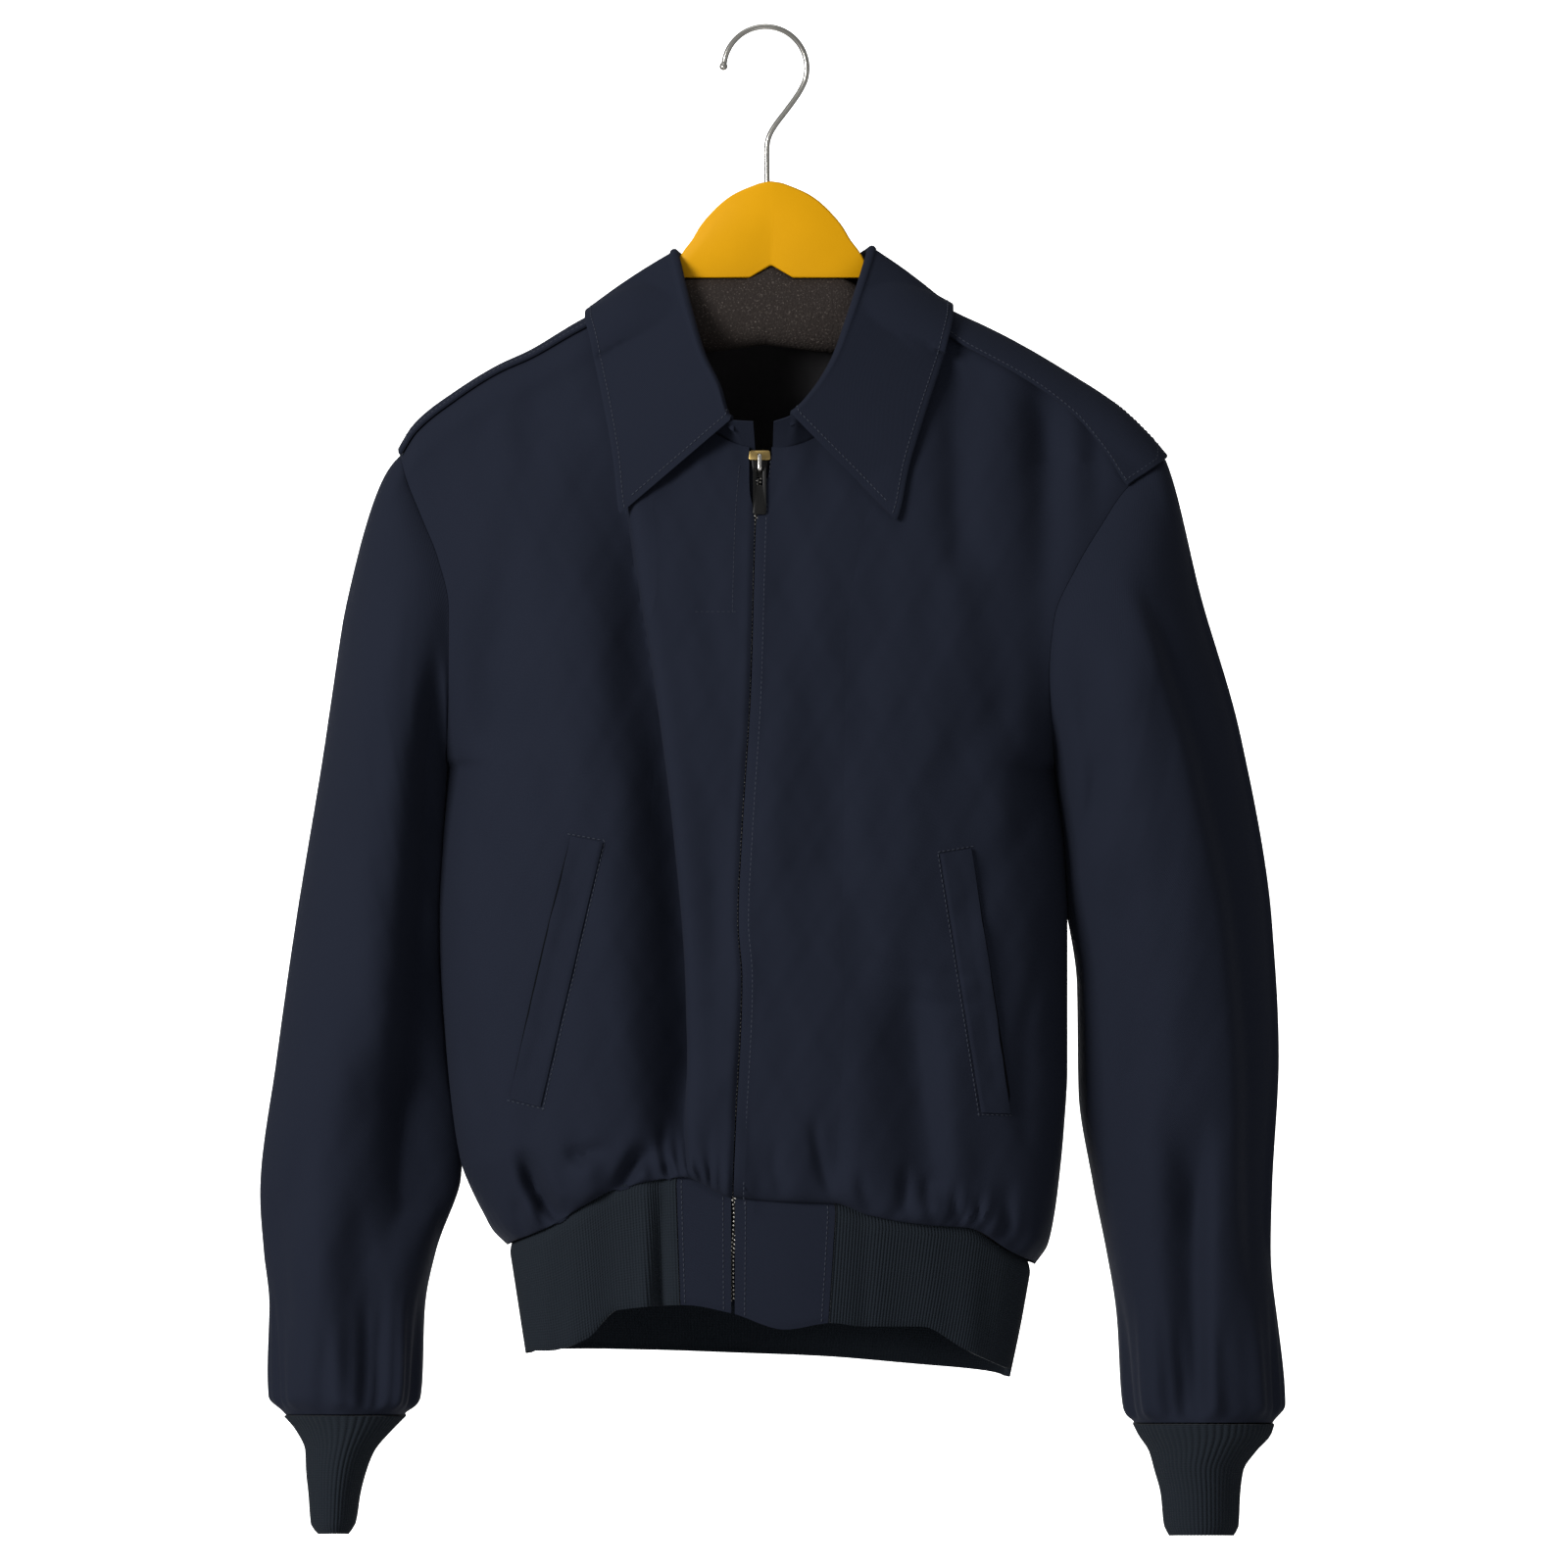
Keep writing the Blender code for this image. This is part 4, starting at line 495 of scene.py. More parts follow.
# Small creases and puffs: both ends, half width and depth. A puff's depth is below 0.
CREASES = {
    "front": table(
        "x_a z_a x_b z_b width depth",
        (-148, -690, -120, -738, 6, 16), (-112, -694, -105, -720, 9, -8), (-74, -684, -92, -728, 5.5, 15),
        (-122, -690, -98, -684, 4.5, 4), (-60, -694, -55, -716, 4.5, 7), (-152, -716, -146, -742, 3.6, 3.4),
        (-138, -714, -133, -738, 3.4, 3.4), (-172, -700, -160, -744, 6, 4.0),
        (-122, -716, -118, -738, 3.2, 3.0), (-72, -684, -66, -712, 4, 3.4),
        (-104, -716, -100, -730, 3.2, 2.4),
        (66, -566, 130, -580, 4.0, 1.8), (84, -590, 126, -597, 4, 1.5), (30, -668, 44, -720, 4, 2.6),
        (58, -700, 66, -728, 4, 2.6), (86, -696, 89, -732, 3.4, 3.4), (99, -702, 104, -734, 3.4, 3.4),
        (116, -706, 121, -738, 3.4, 3.0), (130, -712, 134, -742, 3.4, 2.6), (148, -706, 151, -750, 5, 3.4),
        (6, -680, 12, -718, 4, 1.4), (-60, -668, -64, -704, 4, 1.8), (-34, -672, -32, -706, 4, 1.4),
        (-186, -470, -120, -560, 9, 1.6), (176, -470, 120, -556, 9, 1.6), (-176, -402, -100, -470, 11, 1.8),
        (160, -404, 96, -480, 11, 1.6), (-186, -560, -168, -680, 6, 1.8), (172, -560, 160, -690, 6, 1.8),
        (-96, -250, -120, -330, 14, 1.5), (100, -250, 128, -330, 14, 1.5), (20, -330, 26, -640, 12, -1.4),
        (-8, -600, -6, -706, 5, 1.0), (-30, -300, -26, -400, 9, 1.0), (-60, -180, -150, -230, 10, 0.8),
        (64, -180, 150, -226, 10, 0.8),
    ),
    "back": table(
        "x_a z_a x_b z_b width depth",
        (-150, -702, -146, -744, 5, 2.4), (-110, -706, -106, -745, 4, 2.2), (-84, -700, -86, -746, 4, 2.4),
        (-62, -712, -58, -747, 4, 1.8), (-24, -706, -22, -748, 4, 2.2), (14, -700, 16, -749, 4, 2.2),
        (58, -706, 62, -750, 4, 2.2), (92, -700, 96, -752, 4, 2.4), (112, -712, 116, -753, 4, 1.8),
        (150, -704, 152, -754, 5, 2.4), (-180, -440, -110, -520, 10, 2.0), (168, -440, 104, -520, 10, 2.0),
        (-150, -240, -60, -216, 12, 1.4), (150, -240, 66, -216, 12, 1.4), (-60, -220, 64, -222, 9, 1.0),
        (-30, -260, -36, -560, 18, -1.6), (40, -260, 46, -540, 18, -1.6), (-170, -560, -156, -700, 7, 2.0),
        (158, -560, 150, -700, 7, 2.0),
    ),
}
# The cloth's own waves: their lengths across and along it, and their heights.
WAVES = ((71, 310, 0.55), (43, 205, 0.40), (29, 143, 0.26), (113, 61, 0.22), (19, 37, 0.10), (13, 23, 0.06))
WAVE_SCALE = 1.6


def ease(s):
    """A soft step from 0 to 1."""
    s = np.clip(s, 0.0, 1.0)
    return s * s * (3 - 2 * s)


def edge_x(side, z):
    """The x of the body's edge at a height."""
    return look(EDGE[side], "x", z)


def zip_x(z):
    """The x of the zip's line at a height."""
    return look(ZIP_LINE, "x", z)


def fullness(face, drop, lift=0.0):
    """How far the cloth stands from the middle plane, by the drop below the raised shoulder line."""
    radius = SHOULDER_ROUND[face] + lift
    near = np.clip(drop, 0.0, radius)
    return np.sqrt(2 * radius * near - near * near) + look(SWELL, face, drop - lift)


def armhole_share(side, z):
    """The share of the full depth at the body's edge: 0 below the armpit, opening toward the tip."""
    rise = np.clip((z - PIT_Z) / (TIP_Z[side] - PIT_Z), 0.0, 1.0)
    return ARMHOLE_OPEN * np.sqrt(1 - (1 - rise) ** 2)


def middle_y(z):
    """The body's widest line leans forward below the shoulders."""
    return -10.0 * ease((TIP_Z[-1] - z) / 150.0)


def trench(x, z):
    """How far a place lies from the bottom of the deepest fold, and how far the fold presses it in."""
    away = x - look(TRENCH, "x", z)
    width = np.where(away < 0, look(TRENCH, "left", z), 5.5)
    return away, look(TRENCH, "depth", z) * np.exp(-(away / width) ** 2)


def fold_depth(face, x, z):
    """How far the large folds press the cloth in."""
    total = trench(x, z)[1] if face == "front" else 0.0
    for x_top, x_low, z_top, z_low, left, right, depth in zip(*FOLDS[face].values()):
        down = np.clip((z_top - z) / (z_top - z_low), 0.0, 1.0)
        away = x - (x_top + (x_low - x_top) * down)
        width = np.where(away < 0, left, right)
        swing = ease((z_top - z) / 70) * (1 - ease((z_low + 12 - z) / 24))
        total = total + depth * swing * np.exp(-(away / width) ** 2)
    return total


def crease_depth(rows, a, b):
    """How far small creases press a surface in, each along a line between two places."""
    total = 0.0
    for a_start, b_start, a_end, b_end, width, depth in zip(*rows.values()):
        run = np.array([a_end - a_start, b_end - b_start])
        length = np.hypot(*run)
        along = ((a - a_start) * run[0] + (b - b_start) * run[1]) / length ** 2
        beside = ((a - a_start) * run[1] - (b - b_start) * run[0]) / length
        bow = beside - 0.06 * length * np.sin(math.pi * np.clip(along, 0, 1))
        fade = ease((along + 0.15) / 0.45) * ease((1.15 - along) / 0.45)
        total = total + depth * fade * np.exp(-(bow / width) ** 2)
    return total


def slack(a, b, seed):
    """The cloth's own unevenness: a few long, shallow waves that never repeat in step."""
    total = 0.0
    for step, (across, along, height) in enumerate(WAVES):
        beat = np.sin(b / along * 2 * math.pi + 0.9 * step + 2.1 * seed + 0.6 * np.sin(a / 90))
        total = total + height * np.sin(a / across * 2 * math.pi + 1.7 * step + seed) * beat
    return WAVE_SCALE * total


def run_of(points):
    """The length run along a line of points, at each of them."""
    return np.concatenate(([0.0], np.cumsum(np.linalg.norm(np.diff(points, axis=0), axis=1))))


def grid(rows, columns):
    """The row place and the column place of every point of a grid."""
    return np.meshgrid(rows, columns, indexing="ij")


# A quarter turn round the body's cross-section, as shares of its half width, and the length run along it.
QUARTER_X = np.sin(np.linspace(0, math.pi / 2, 200)) ** (2 / SIDE_CURVE)
QUARTER_Y = np.cos(np.linspace(0, math.pi / 2, 200)) ** (2 / SIDE_CURVE)
QUARTER = np.concatenate(([0.0], np.cumsum(np.hypot(np.diff(QUARTER_X) * 185, np.diff(QUARTER_Y) * 85))))
QUARTER = QUARTER / QUARTER[-1]


def half_edge(face, side, across, z):
    """The x of the body's edge that a place across counts toward. Toward the hem it follows the hem's dip."""
    centre = zip_x(HEM_Z[side])
    x_hem = centre + (BAND_TOP_X[side] - centre) * across
    rise = look(HEM[face], "top", x_hem) - HEM_Z[side]
    height = np.clip((z - HEM_Z[side] - rise) / 420.0, 0.0, 1.0)
    return edge_x(side, z - rise * (1 - height) ** 3)


def across_of(face, side, x, z):
    """The place across the body, 0 at the zip and 1 at the edge, of a point on a panel."""
    across = (x - zip_x(z)) / (edge_x(side, z) - zip_x(z))
    for _ in range(4):
        across = np.clip((x - zip_x(z)) / (half_edge(face, side, across, z) - zip_x(z)), 0.0, 1.0)
    return across


def depth_share(side, across, z):
    """The share of the full depth at a place across the body, and the round of the side there."""
    share = armhole_share(side, z)
    above = ease((z - PIT_Z + 70) / (TIP_Z[side] - PIT_Z + 70))
    power = 1 / SIDE_CURVE + (1 - 1 / SIDE_CURVE) * above
    round_side = np.clip(1 - across ** SIDE_CURVE, 0.0, 1.0) ** power
    near = ease((across - 0.8) / 0.2)
    share = share * near + ARMHOLE_OPEN * above ** 0.7 * (1 - near)
    return share + (1 - share) * round_side, round_side


def body_depth(face, side, x, z, lift=0.0):
    """The distance of the cloth's outer face, raised by a lift, from the body's middle plane."""
    share, round_side = depth_share(side, across_of(face, side, x, z), z)
    full = fullness(face, shoulder_z(side, x) + lift - z, lift)
    small = crease_depth(CREASES[face], x, z) + slack(x, z, 1.0 if face == "front" else 2.0)
    small = small * ease((shoulder_z(side, x) - z) / 40)
    return full * share - (fold_depth(face, x, z) + small) * np.clip(round_side * 1.6, 0, 1)


def facing(face, distance, z):
    """The y of a distance in front of the middle plane, or behind it."""
    distance = np.maximum(distance, SEAM / 2)
    return middle_y(z) + (-distance if face == "front" else distance)


def cloth_y(front, side, x, z, lift=0.0):
    """The y of the cloth's outer face, of the front where front is true and of the back elsewhere."""
    depths = (body_depth(face, side, x, z, lift) for face in ("front", "back"))
    return np.where(front, *(facing(face, depth, z) for face, depth in zip(("front", "back"), depths)))


def on_cloth(side, x, z):
    """Points of the front's outer face."""
    return np.stack((x, facing("front", body_depth("front", side, x, z), z), z), axis=-1)


def panel(face, side):
    """The surface of half the front or back: rows from hem 0 to top 1, columns outward."""
    zip_top = zip_x(TIP_Z[side])
    zip_hem = zip_x(HEM_Z[side])

    def surface(rows, columns):
        rows = np.clip(rows, 0.0, 1.0)
        columns = np.clip(columns, 0.0, 1.0)
        across = np.interp(columns, QUARTER, QUARTER_X)
        x_top = zip_top + (edge_x(side, TIP_Z[side]) - zip_top) * across
        x_hem = zip_hem + (BAND_TOP_X[side] - zip_hem) * across
        hem_z = look(HEM[face], "top", x_hem)
        inside = np.clip(1 - ((x_top - CENTRE_X) / NECK_HALF) ** 2, 0.0, 1.0)
        neck_z = NECK_TOP_Z - NECK_DROP[face] * np.sqrt(inside)
        top_z = np.where(np.abs(x_top - CENTRE_X) < NECK_HALF, neck_z, shoulder_z(side, x_top))
        z = hem_z + (top_z - hem_z) * rows
        x = zip_x(z) + (half_edge(face, side, across, z) - zip_x(z)) * across
        round_side = depth_share(side, across, z)[1]
        above = z - hem_z
        tuck = np.sqrt(1 - (1 - np.clip(above / HEM_ROUND, 0.0, 1.0)) ** 2)
        hem_depth = BAND_DEPTH[face] * round_side
        near_side = np.minimum(round_side * 2, 1)
        gather = GATHER * np.cos(12 * math.pi * columns) * np.clip(1 - above / 50, 0.0, 1.0) ** 1.5
        ripple = np.sin(math.pi * (31 * columns + 3 * np.sin(9 * columns + side)))
        gather = gather + PUCKER * ripple * np.cos(7.3 * columns + side) * np.exp(-(above / 17) ** 2)
        depth = hem_depth + (body_depth(face, side, x, z) + gather * near_side - hem_depth) * tuck
        if face == "front":
            x = x + side * look(ZIP_OPENING, "half", z) * (1 - across) ** 10
            beside = np.abs(x - zip_x(z))
            depth = depth - ZIP_DIP * np.exp(-beside ** 2 / 3) + 0.6 * np.exp(-((beside - 4) / 3) ** 2)
            away = trench(x, z)[0]
            lip = look(TRENCH, "depth", z) / 28 * np.exp(-((away - 6.5) / 4.8) ** 2)
            x = x - LIP_LEAN * lip
            depth = depth + 1.5 * lip
        at_armhole = ease((z - PIT_Z + 20) / 40) * (rows < 0.999)
        depth = depth - ARMHOLE_DIP * np.exp(-((1 - columns) / 0.012) ** 2) * at_armhole
        return np.stack((x, facing(face, depth, z), z), axis=-1)

    return surface


def panel_rows(count):
    """Row places, close together at the hem and at the top."""
    low = 0.06 * np.linspace(0, 1, 16) ** 1.8
    high = 1 - 0.10 * np.linspace(1, 0, 26) ** 2
    return np.concatenate((low, np.linspace(low[-1], high[0], count)[1:-1], high))


def panel_columns(face, side, count):
    """Column places from the zip outward, evenly round the neck and then along the shoulder."""
    centre = zip_x(TIP_Z[side])
    turns = np.linspace(0, math.pi / 2, 60 if face == "front" else 40)
    across = (CENTRE_X + side * NECK_HALF * np.sin(turns) - centre) / (edge_x(side, TIP_Z[side]) - centre)
    neck = np.interp(across, QUARTER_X, QUARTER)
    neck[0] = 0.0
    return np.concatenate((neck, np.linspace(neck[-1], 1, count)[1:]))


def normals(surface, rows, columns):
    """Unit normals of a surface function."""
    reach = 1e-3
    across = surface(rows, columns + reach) - surface(rows, columns - reach)
    along = surface(rows + reach, columns) - surface(rows - reach, columns)
    normal = np.cross(across, along)
    return normal / np.maximum(np.linalg.norm(normal, axis=-1, keepdims=True), 1e-9)


def turned(surface, rows, columns, toward):
    """Unit normals of a surface function, turned to the side of a direction."""
    normal = normals(surface, rows, columns)
    return normal * np.sign(np.sum(normal * toward, axis=-1).mean())


def corner_uv(u_low, u_high, v_low, v_high):
    """UVs of quads, from the low left corner on."""
    pairs = ((u_low, v_low), (u_high, v_low), (u_high, v_high), (u_low, v_high))
    return np.stack([np.stack(np.broadcast_arrays(u, v), axis=-1) for u, v in pairs], axis=1)


def cloth_wall(name, outer, inner, material, tube_like=False):
    """A closed wall of cloth between two grids of points. Its UV map is in metres along the cloth."""
    rows, columns = outer.shape[:2]
    closed = np.concatenate((outer, outer[:, :1]), axis=1) if tube_like else outer
    u = run_of(closed[rows // 2]) * 0.001
    v = run_of(outer[:, columns // 2]) * 0.001
    r, c = grid(np.arange(rows - 1), np.arange(closed.shape[1] - 1))
    r, c = r.ravel(), c.ravel()
    d = (c + 1) % columns
    quads = np.stack((r * columns + c, r * columns + d, (r + 1) * columns + d, (r + 1) * columns + c), axis=1)
    quad_uv = corner_uv(u[c], u[c + 1], v[r], v[r + 1])
    total = rows * columns
    faces = [quads, (quads + total)[:, ::-1]]
    uvs = [quad_uv, quad_uv[:, ::-1]]
    for row in (0, rows - 1):
        i = np.arange(closed.shape[1] - 1)
        start = row * columns + i
        end = row * columns + (i + 1) % columns
        faces.append(np.stack((start, end, total + end, total + start), axis=1))
        uvs.append(corner_uv(u[i], u[i + 1], v[row], v[row] + 0.001))
    if not tube_like:
        for column in (0, columns - 1):
            i = np.arange(rows - 1) * columns + column
            faces.append(np.stack((i, i + columns, total + i + columns, total + i), axis=1))
            uvs.append(corner_uv(v[:-1], v[1:], u[column], u[column] + 0.001)[..., ::-1])
    quads = np.concatenate(faces)
    mesh = bpy.data.meshes.new(name)
    mesh.vertices.add(2 * total)
    mesh.vertices.foreach_set("co", placed(np.stack((outer, inner))).ravel())
    mesh.loops.add(quads.size)
    mesh.loops.foreach_set("vertex_index", quads.ravel().astype(np.int32))
    mesh.polygons.add(len(quads))
    mesh.polygons.foreach_set("loop_start", np.arange(len(quads), dtype=np.int32) * 4)
    mesh.uv_layers.new(name="UVMap").data.foreach_set("uv", np.concatenate(uvs).ravel())
    mesh.update(calc_edges=True)
    mesh.validate()
    piece = finished(mesh, material, 60)
    return piece


def twill(name, dark, light, pitch, sheen):
    """Woven cotton: fine slanted ribs, uneven yarn and a soft bloom of loose fibre."""
    material, tree, shader = surface_material(
        name, light, 0.88, Sheen_Weight=sheen, Sheen_Roughness=0.55, Specular_IOR_Level=0.06,
        Sheen_Tint=(0.55, 0.62, 0.85, 1.0))
    slant = node(tree, "Mapping", Rotation=(0, 0, math.radians(63)))
    lines = node(tree, "TexWave", Scale=0.314 / pitch, Distortion=1.2, Detail=2.0, Detail_Scale=2.0,
                 Detail_Roughness=0.6)
    yarn = node(tree, "TexNoise", Scale=1900.0, Detail=3.0, Roughness=0.7)
    worn = node(tree, "TexNoise", Scale=16.0, Detail=4.0, Roughness=0.6)
    shade, blend, height = (node(tree, "Math", operation="MULTIPLY_ADD") for _ in range(3))
    for scaled, share in ((shade, 0.45), (blend, 0.55), (height, 0.6)):
        scaled.inputs[1].default_value = share
    mapped(tree, "UV", yarn, worn, slant)
    wire(tree, (slant, "Vector", lines, "Vector"), (yarn, "Fac", shade, 0), (worn, "Fac", blend, 0),
         (lines, "Fac", height, 0), (yarn, "Fac", height, 2), (shade, 0, blend, 2))
    toned(tree, shader, blend, dark, light, 0)
    bumped(tree, shader, height, 0.35, 0.0003, 0)
    return material


def inner_face(face, points, normal, thick):
    """The inside of a panel's wall, kept on its own side of the seams."""
    inner = points - normal * thick
    seam = middle_y(points[..., 2])
    if face == "front":
        inner[..., 1] = np.minimum(inner[..., 1], seam - SEAM / 2)
    else:
        inner[..., 1] = np.maximum(inner[..., 1], seam + SEAM / 2)
    return inner


navy = twill("navy twill", (0.0078, 0.0096, 0.0169), (0.0117, 0.0143, 0.0242), 0.0008, 0.02)
for name, side in (("front_left", -1), ("front_right", 1)):
    surface = panel("front", side)
    rows, places = grid(panel_rows(140), panel_columns("front", side, 76))
    points = surface(rows, places)
    inner = inner_face("front", points, normals(surface, rows, places) * side, CLOTH)
    cloth_wall(name + "_cloth", points, inner, navy)
    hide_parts(name)


# Back
# One plain piece of the same twill from side seam to side seam. It hangs from the shoulders and is
# gathered into the waistband as the fronts are.
halves = {}
for side in (-1, 1):
    columns = panel_columns("back", side, 66)
    rows, places = grid(panel_rows(112), columns)
    surface = panel("back", side)
    halves[side] = (surface(rows, places), normals(surface, rows, places) * -side)
points = np.hstack((halves[-1][0][:, :0:-1], halves[1][0]))
normal = np.hstack((halves[-1][1][:, :0:-1], halves[1][1]))
back = cloth_wall("back_cloth", points, inner_face("back", points, normal, CLOTH), navy)
# Painted light: the inside face of the back is coloured a lighter grey than the navy, so that the shaded
# inside seen through the neck is not black.
back.data.materials.append(twill("back inside painted lighter", (0.036, 0.035, 0.037), (0.052, 0.050, 0.053), 0.0007, 0.0))
count = (points.shape[0] - 1) * (points.shape[1] - 1)
for place in range(count, 2 * count):
    back.data.polygons[place].material_index = 1
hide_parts("back")


# Sleeves
# Each is one tube of twill set into its armhole. It hangs a little bent, with long folds, and narrows
# into its cuff.
SLEEVE_GAP = 0.1
SLEEVE_AROUND = 132
# Sections: the outer and inner edge as seen, the middle's y and half the depth from front to back.
SLEEVE = {
    -1: table(
        "along x_out z_out x_in z_in y half",
        (0.00, -224, -261, -193, -450, -8, 46), (0.10, -243, -284, -191, -462, -4, 62),
        (0.22, -257, -352, -188, -494, 2, 70), (0.38, -271.5, -446, -187, -545, 8, 72),
        (0.54, -288, -544, -187, -600, 12, 69), (0.68, -300.5, -632, -185, -660, 12, 64),
        (0.79, -310.5, -712, -187, -704, 10, 59), (0.86, -308, -749, -202, -748, 8, 56),
        (0.92, -303.5, -785, -209.5, -785, 6, 54), (1.00, -302, -837, -213, -839, 4, 50),
        (1.04, -294, -848, -221, -848, 4, 43),
    ),
    1: table(
        "along x_out z_out x_in z_in y half",
        (0.00, 245, -264, 176, -450, -8, 46), (0.10, 254, -288, 177, -462, -6, 62),
        (0.22, 265, -340, 180, -484, -4, 70), (0.38, 291, -432, 183, -530, 0, 71),
        (0.54, 310.5, -545, 191, -586, 4, 68), (0.68, 315, -630, 192, -650, 6, 63),
        (0.79, 311, -708, 201, -708, 6, 58), (0.86, 310, -748, 209, -748, 5, 56),
        (0.92, 313, -790, 216, -790, 4, 53), (1.00, 316, -842, 221, -846, 3, 49),
        (1.04, 311, -853, 226, -853, 3, 45),
    ),
}
# Folds: place across from the inner edge -1 to the outer edge 1, on the front (-1) or back (1).
SLEEVE_FOLDS = {
    -1: table(
        "from_along to_along across_top across_low inward outward depth face",
        (0.04, 0.84, -0.46, -0.52, 0.60, 0.24, 21, -1), (0.58, 1.00, -0.32, -0.26, 0.60, 0.42, 17, -1),
        (0.12, 0.50, -0.10, -0.20, 0.20, 0.24, 3, -1),
        (0.70, 0.86, 0.55, 0.75, 0.16, 0.16, 6, -1), (0.72, 1.02, 0.90, 0.70, 0.10, 0.22, 7, -1),
        (0.15, 0.70, 0.10, -0.10, 0.30, 0.30, 8, 1), (0.55, 1.00, 0.35, 0.10, 0.30, 0.30, 9, 1),
    ),
    1: table(
        "from_along to_along across_top across_low inward outward depth face",
        (0.06, 0.34, -0.25, -0.62, 0.22, 0.30, 9, -1), (0.12, 0.88, 0.50, 0.76, 0.09, 1.3, 15, -1),
        (0.70, 1.02, 0.24, -0.14, 0.26, 0.16, 16, -1), (0.36, 0.72, -0.45, -0.50, 0.22, 0.22, 4, -1),
        (0.15, 0.70, -0.10, 0.10, 0.30, 0.30, 8, 1), (0.55, 1.00, -0.35, -0.10, 0.30, 0.30, 9, 1),
    ),
}
# Small creases by place across and along, each in units of half the width: x_a and x_b across, z along.
SLEEVE_CREASES = {
    -1: table(
        "x_a z_a x_b z_b width depth face",
        (-0.9, 0.80, 0.3, 0.76, 0.05, 2.4, -1), (-0.8, 0.70, 0.2, 0.72, 0.05, 1.6, -1),
        (-0.2, 0.86, 0.8, 0.80, 0.05, 1.8, -1), (-0.6, 1.2, -0.3, 1.6, 0.10, 1.6, -1),
        (-0.9, 0.90, 0.1, 0.96, 0.05, 2.0, 1), (-0.7, 0.75, 0.5, 0.72, 0.06, 2.0, 1),
    ),
    1: table(
        "x_a z_a x_b z_b width depth face",
        (-0.9, 0.80, 0.2, 0.77, 0.05, 2.0, -1), (-0.7, 0.68, 0.3, 0.70, 0.05, 1.4, -1),
        (-0.8, 0.92, 0.0, 0.88, 0.05, 1.8, -1), (-0.9, 0.86, 0.2, 0.92, 0.05, 2.0, 1),
        (-0.6, 0.75, 0.6, 0.72, 0.06, 2.0, 1),
    ),
}


def armhole_point(side, turns):
    """Points of the armhole's edge, from the tip at turn 0 round the front."""
    z = (TIP_Z[side] + PIT_Z) / 2 + (TIP_Z[side] - PIT_Z) / 2 * np.cos(2 * math.pi * turns)
    x = edge_x(side, z)
    return np.stack((x, cloth_y(np.sin(2 * math.pi * turns) >= 0, side, x, z), z), axis=-1)


def clear_of_body(side, points):
    """Points of a sleeve moved out to lie against the body's side and not inside it."""
    x, y, z = np.moveaxis(points, -1, 0)
    away = y - middle_y(z)
    edge = edge_x(side, z)
    full = np.where(away < 0, fullness("front", shoulder_z(side, edge) - z),
                    fullness("back", shoulder_z(side, edge) - z))
    part = np.clip(np.abs(away) / np.maximum(full, 1.0), 0.0, 1.0)
    across = (1 - part ** SIDE_CURVE) ** (1 / SIDE_CURVE)
    side_x = np.where(z > PIT_Z, edge, zip_x(z) + (edge - zip_x(z)) * across)
    limit = side * side_x + SLEEVE_GAP * ease((PIT_Z + 40 - z) / 40)
    over = np.maximum(limit - side * x, 0.0)
    return np.stack((x + side * over, y, z), axis=-1)


def sleeve_press(side, face, along, across):
    """How far folds press in the front or back of a sleeve."""
    total = 0.0
    for start, end, top, low, inward, outward, depth, which in zip(*SLEEVE_FOLDS[side].values()):
        down = np.clip((along - start) / (end - start), 0.0, 1.0)
        away = across - (top + (low - top) * down)
        width = np.where(away < 0, inward, outward)
        swing = ease((along - start) / 0.12) * (1 - ease((along - end + 0.06) / 0.1))
        total = total + depth * swing * np.exp(-(away / width) ** 2) * (face == which)
    return total


def half_sum(high, low, turn):
    """A place between two edges, by the cosine of a turn."""
    return (high + low) / 2 + (high - low) / 2 * turn


def sleeve(side):
    """A sleeve's surface: rows along it, columns a turn from the tip round the front."""
    tab = SLEEVE[side]
    creases = SLEEVE_CREASES[side]

    def surface(rows, columns):
        rows = np.clip(rows, 0.0, tab["along"][-1])
        angle = 2 * math.pi * columns
        read = {name: look(tab, name, rows) for name in tab}
        outward = np.cos(angle)
        x = half_sum(read["x_out"], read["x_in"], outward)
        z = half_sum(read["z_out"], read["z_in"], outward)
        face = np.where(np.sin(angle) >= 0, -1, 1)
        press = sleeve_press(side, face, rows, outward)
        for which in (-1, 1):
            chosen = {name: creases[name][creases["face"] == which] for name in creases if name != "face"}
            press = press + crease_depth(chosen, outward, rows) * (face == which) * ease((rows - 0.1) / 0.1)
        press = np.minimum(press, read["half"] * np.abs(np.sin(angle)) * 0.6)
        waves = slack(outward * 60 + 9 * face, rows * 600, 3.0 + side)
        press = press + waves * ease((rows - 0.08) / 0.1) * np.abs(np.sin(angle))
        gather = 2.0 * np.cos(8 * angle) + 0.8 * np.cos(23 * angle + 2 * np.sin(3 * angle))
        gather = gather * ease((rows - 0.88) / 0.1) * (1 - ease((rows - 1.0) / 0.04))
        half = (read["half"] + gather) * np.sin(angle)
        y = read["y"] - half - face * press
        ring = np.stack((x + side * gather * outward, y, z), axis=-1)
        start = armhole_point(side, columns % 1.0)
        blend = ease(rows / 0.24)[..., None]
        return clear_of_body(side, start * (1 - blend) + ring * blend)

    return surface


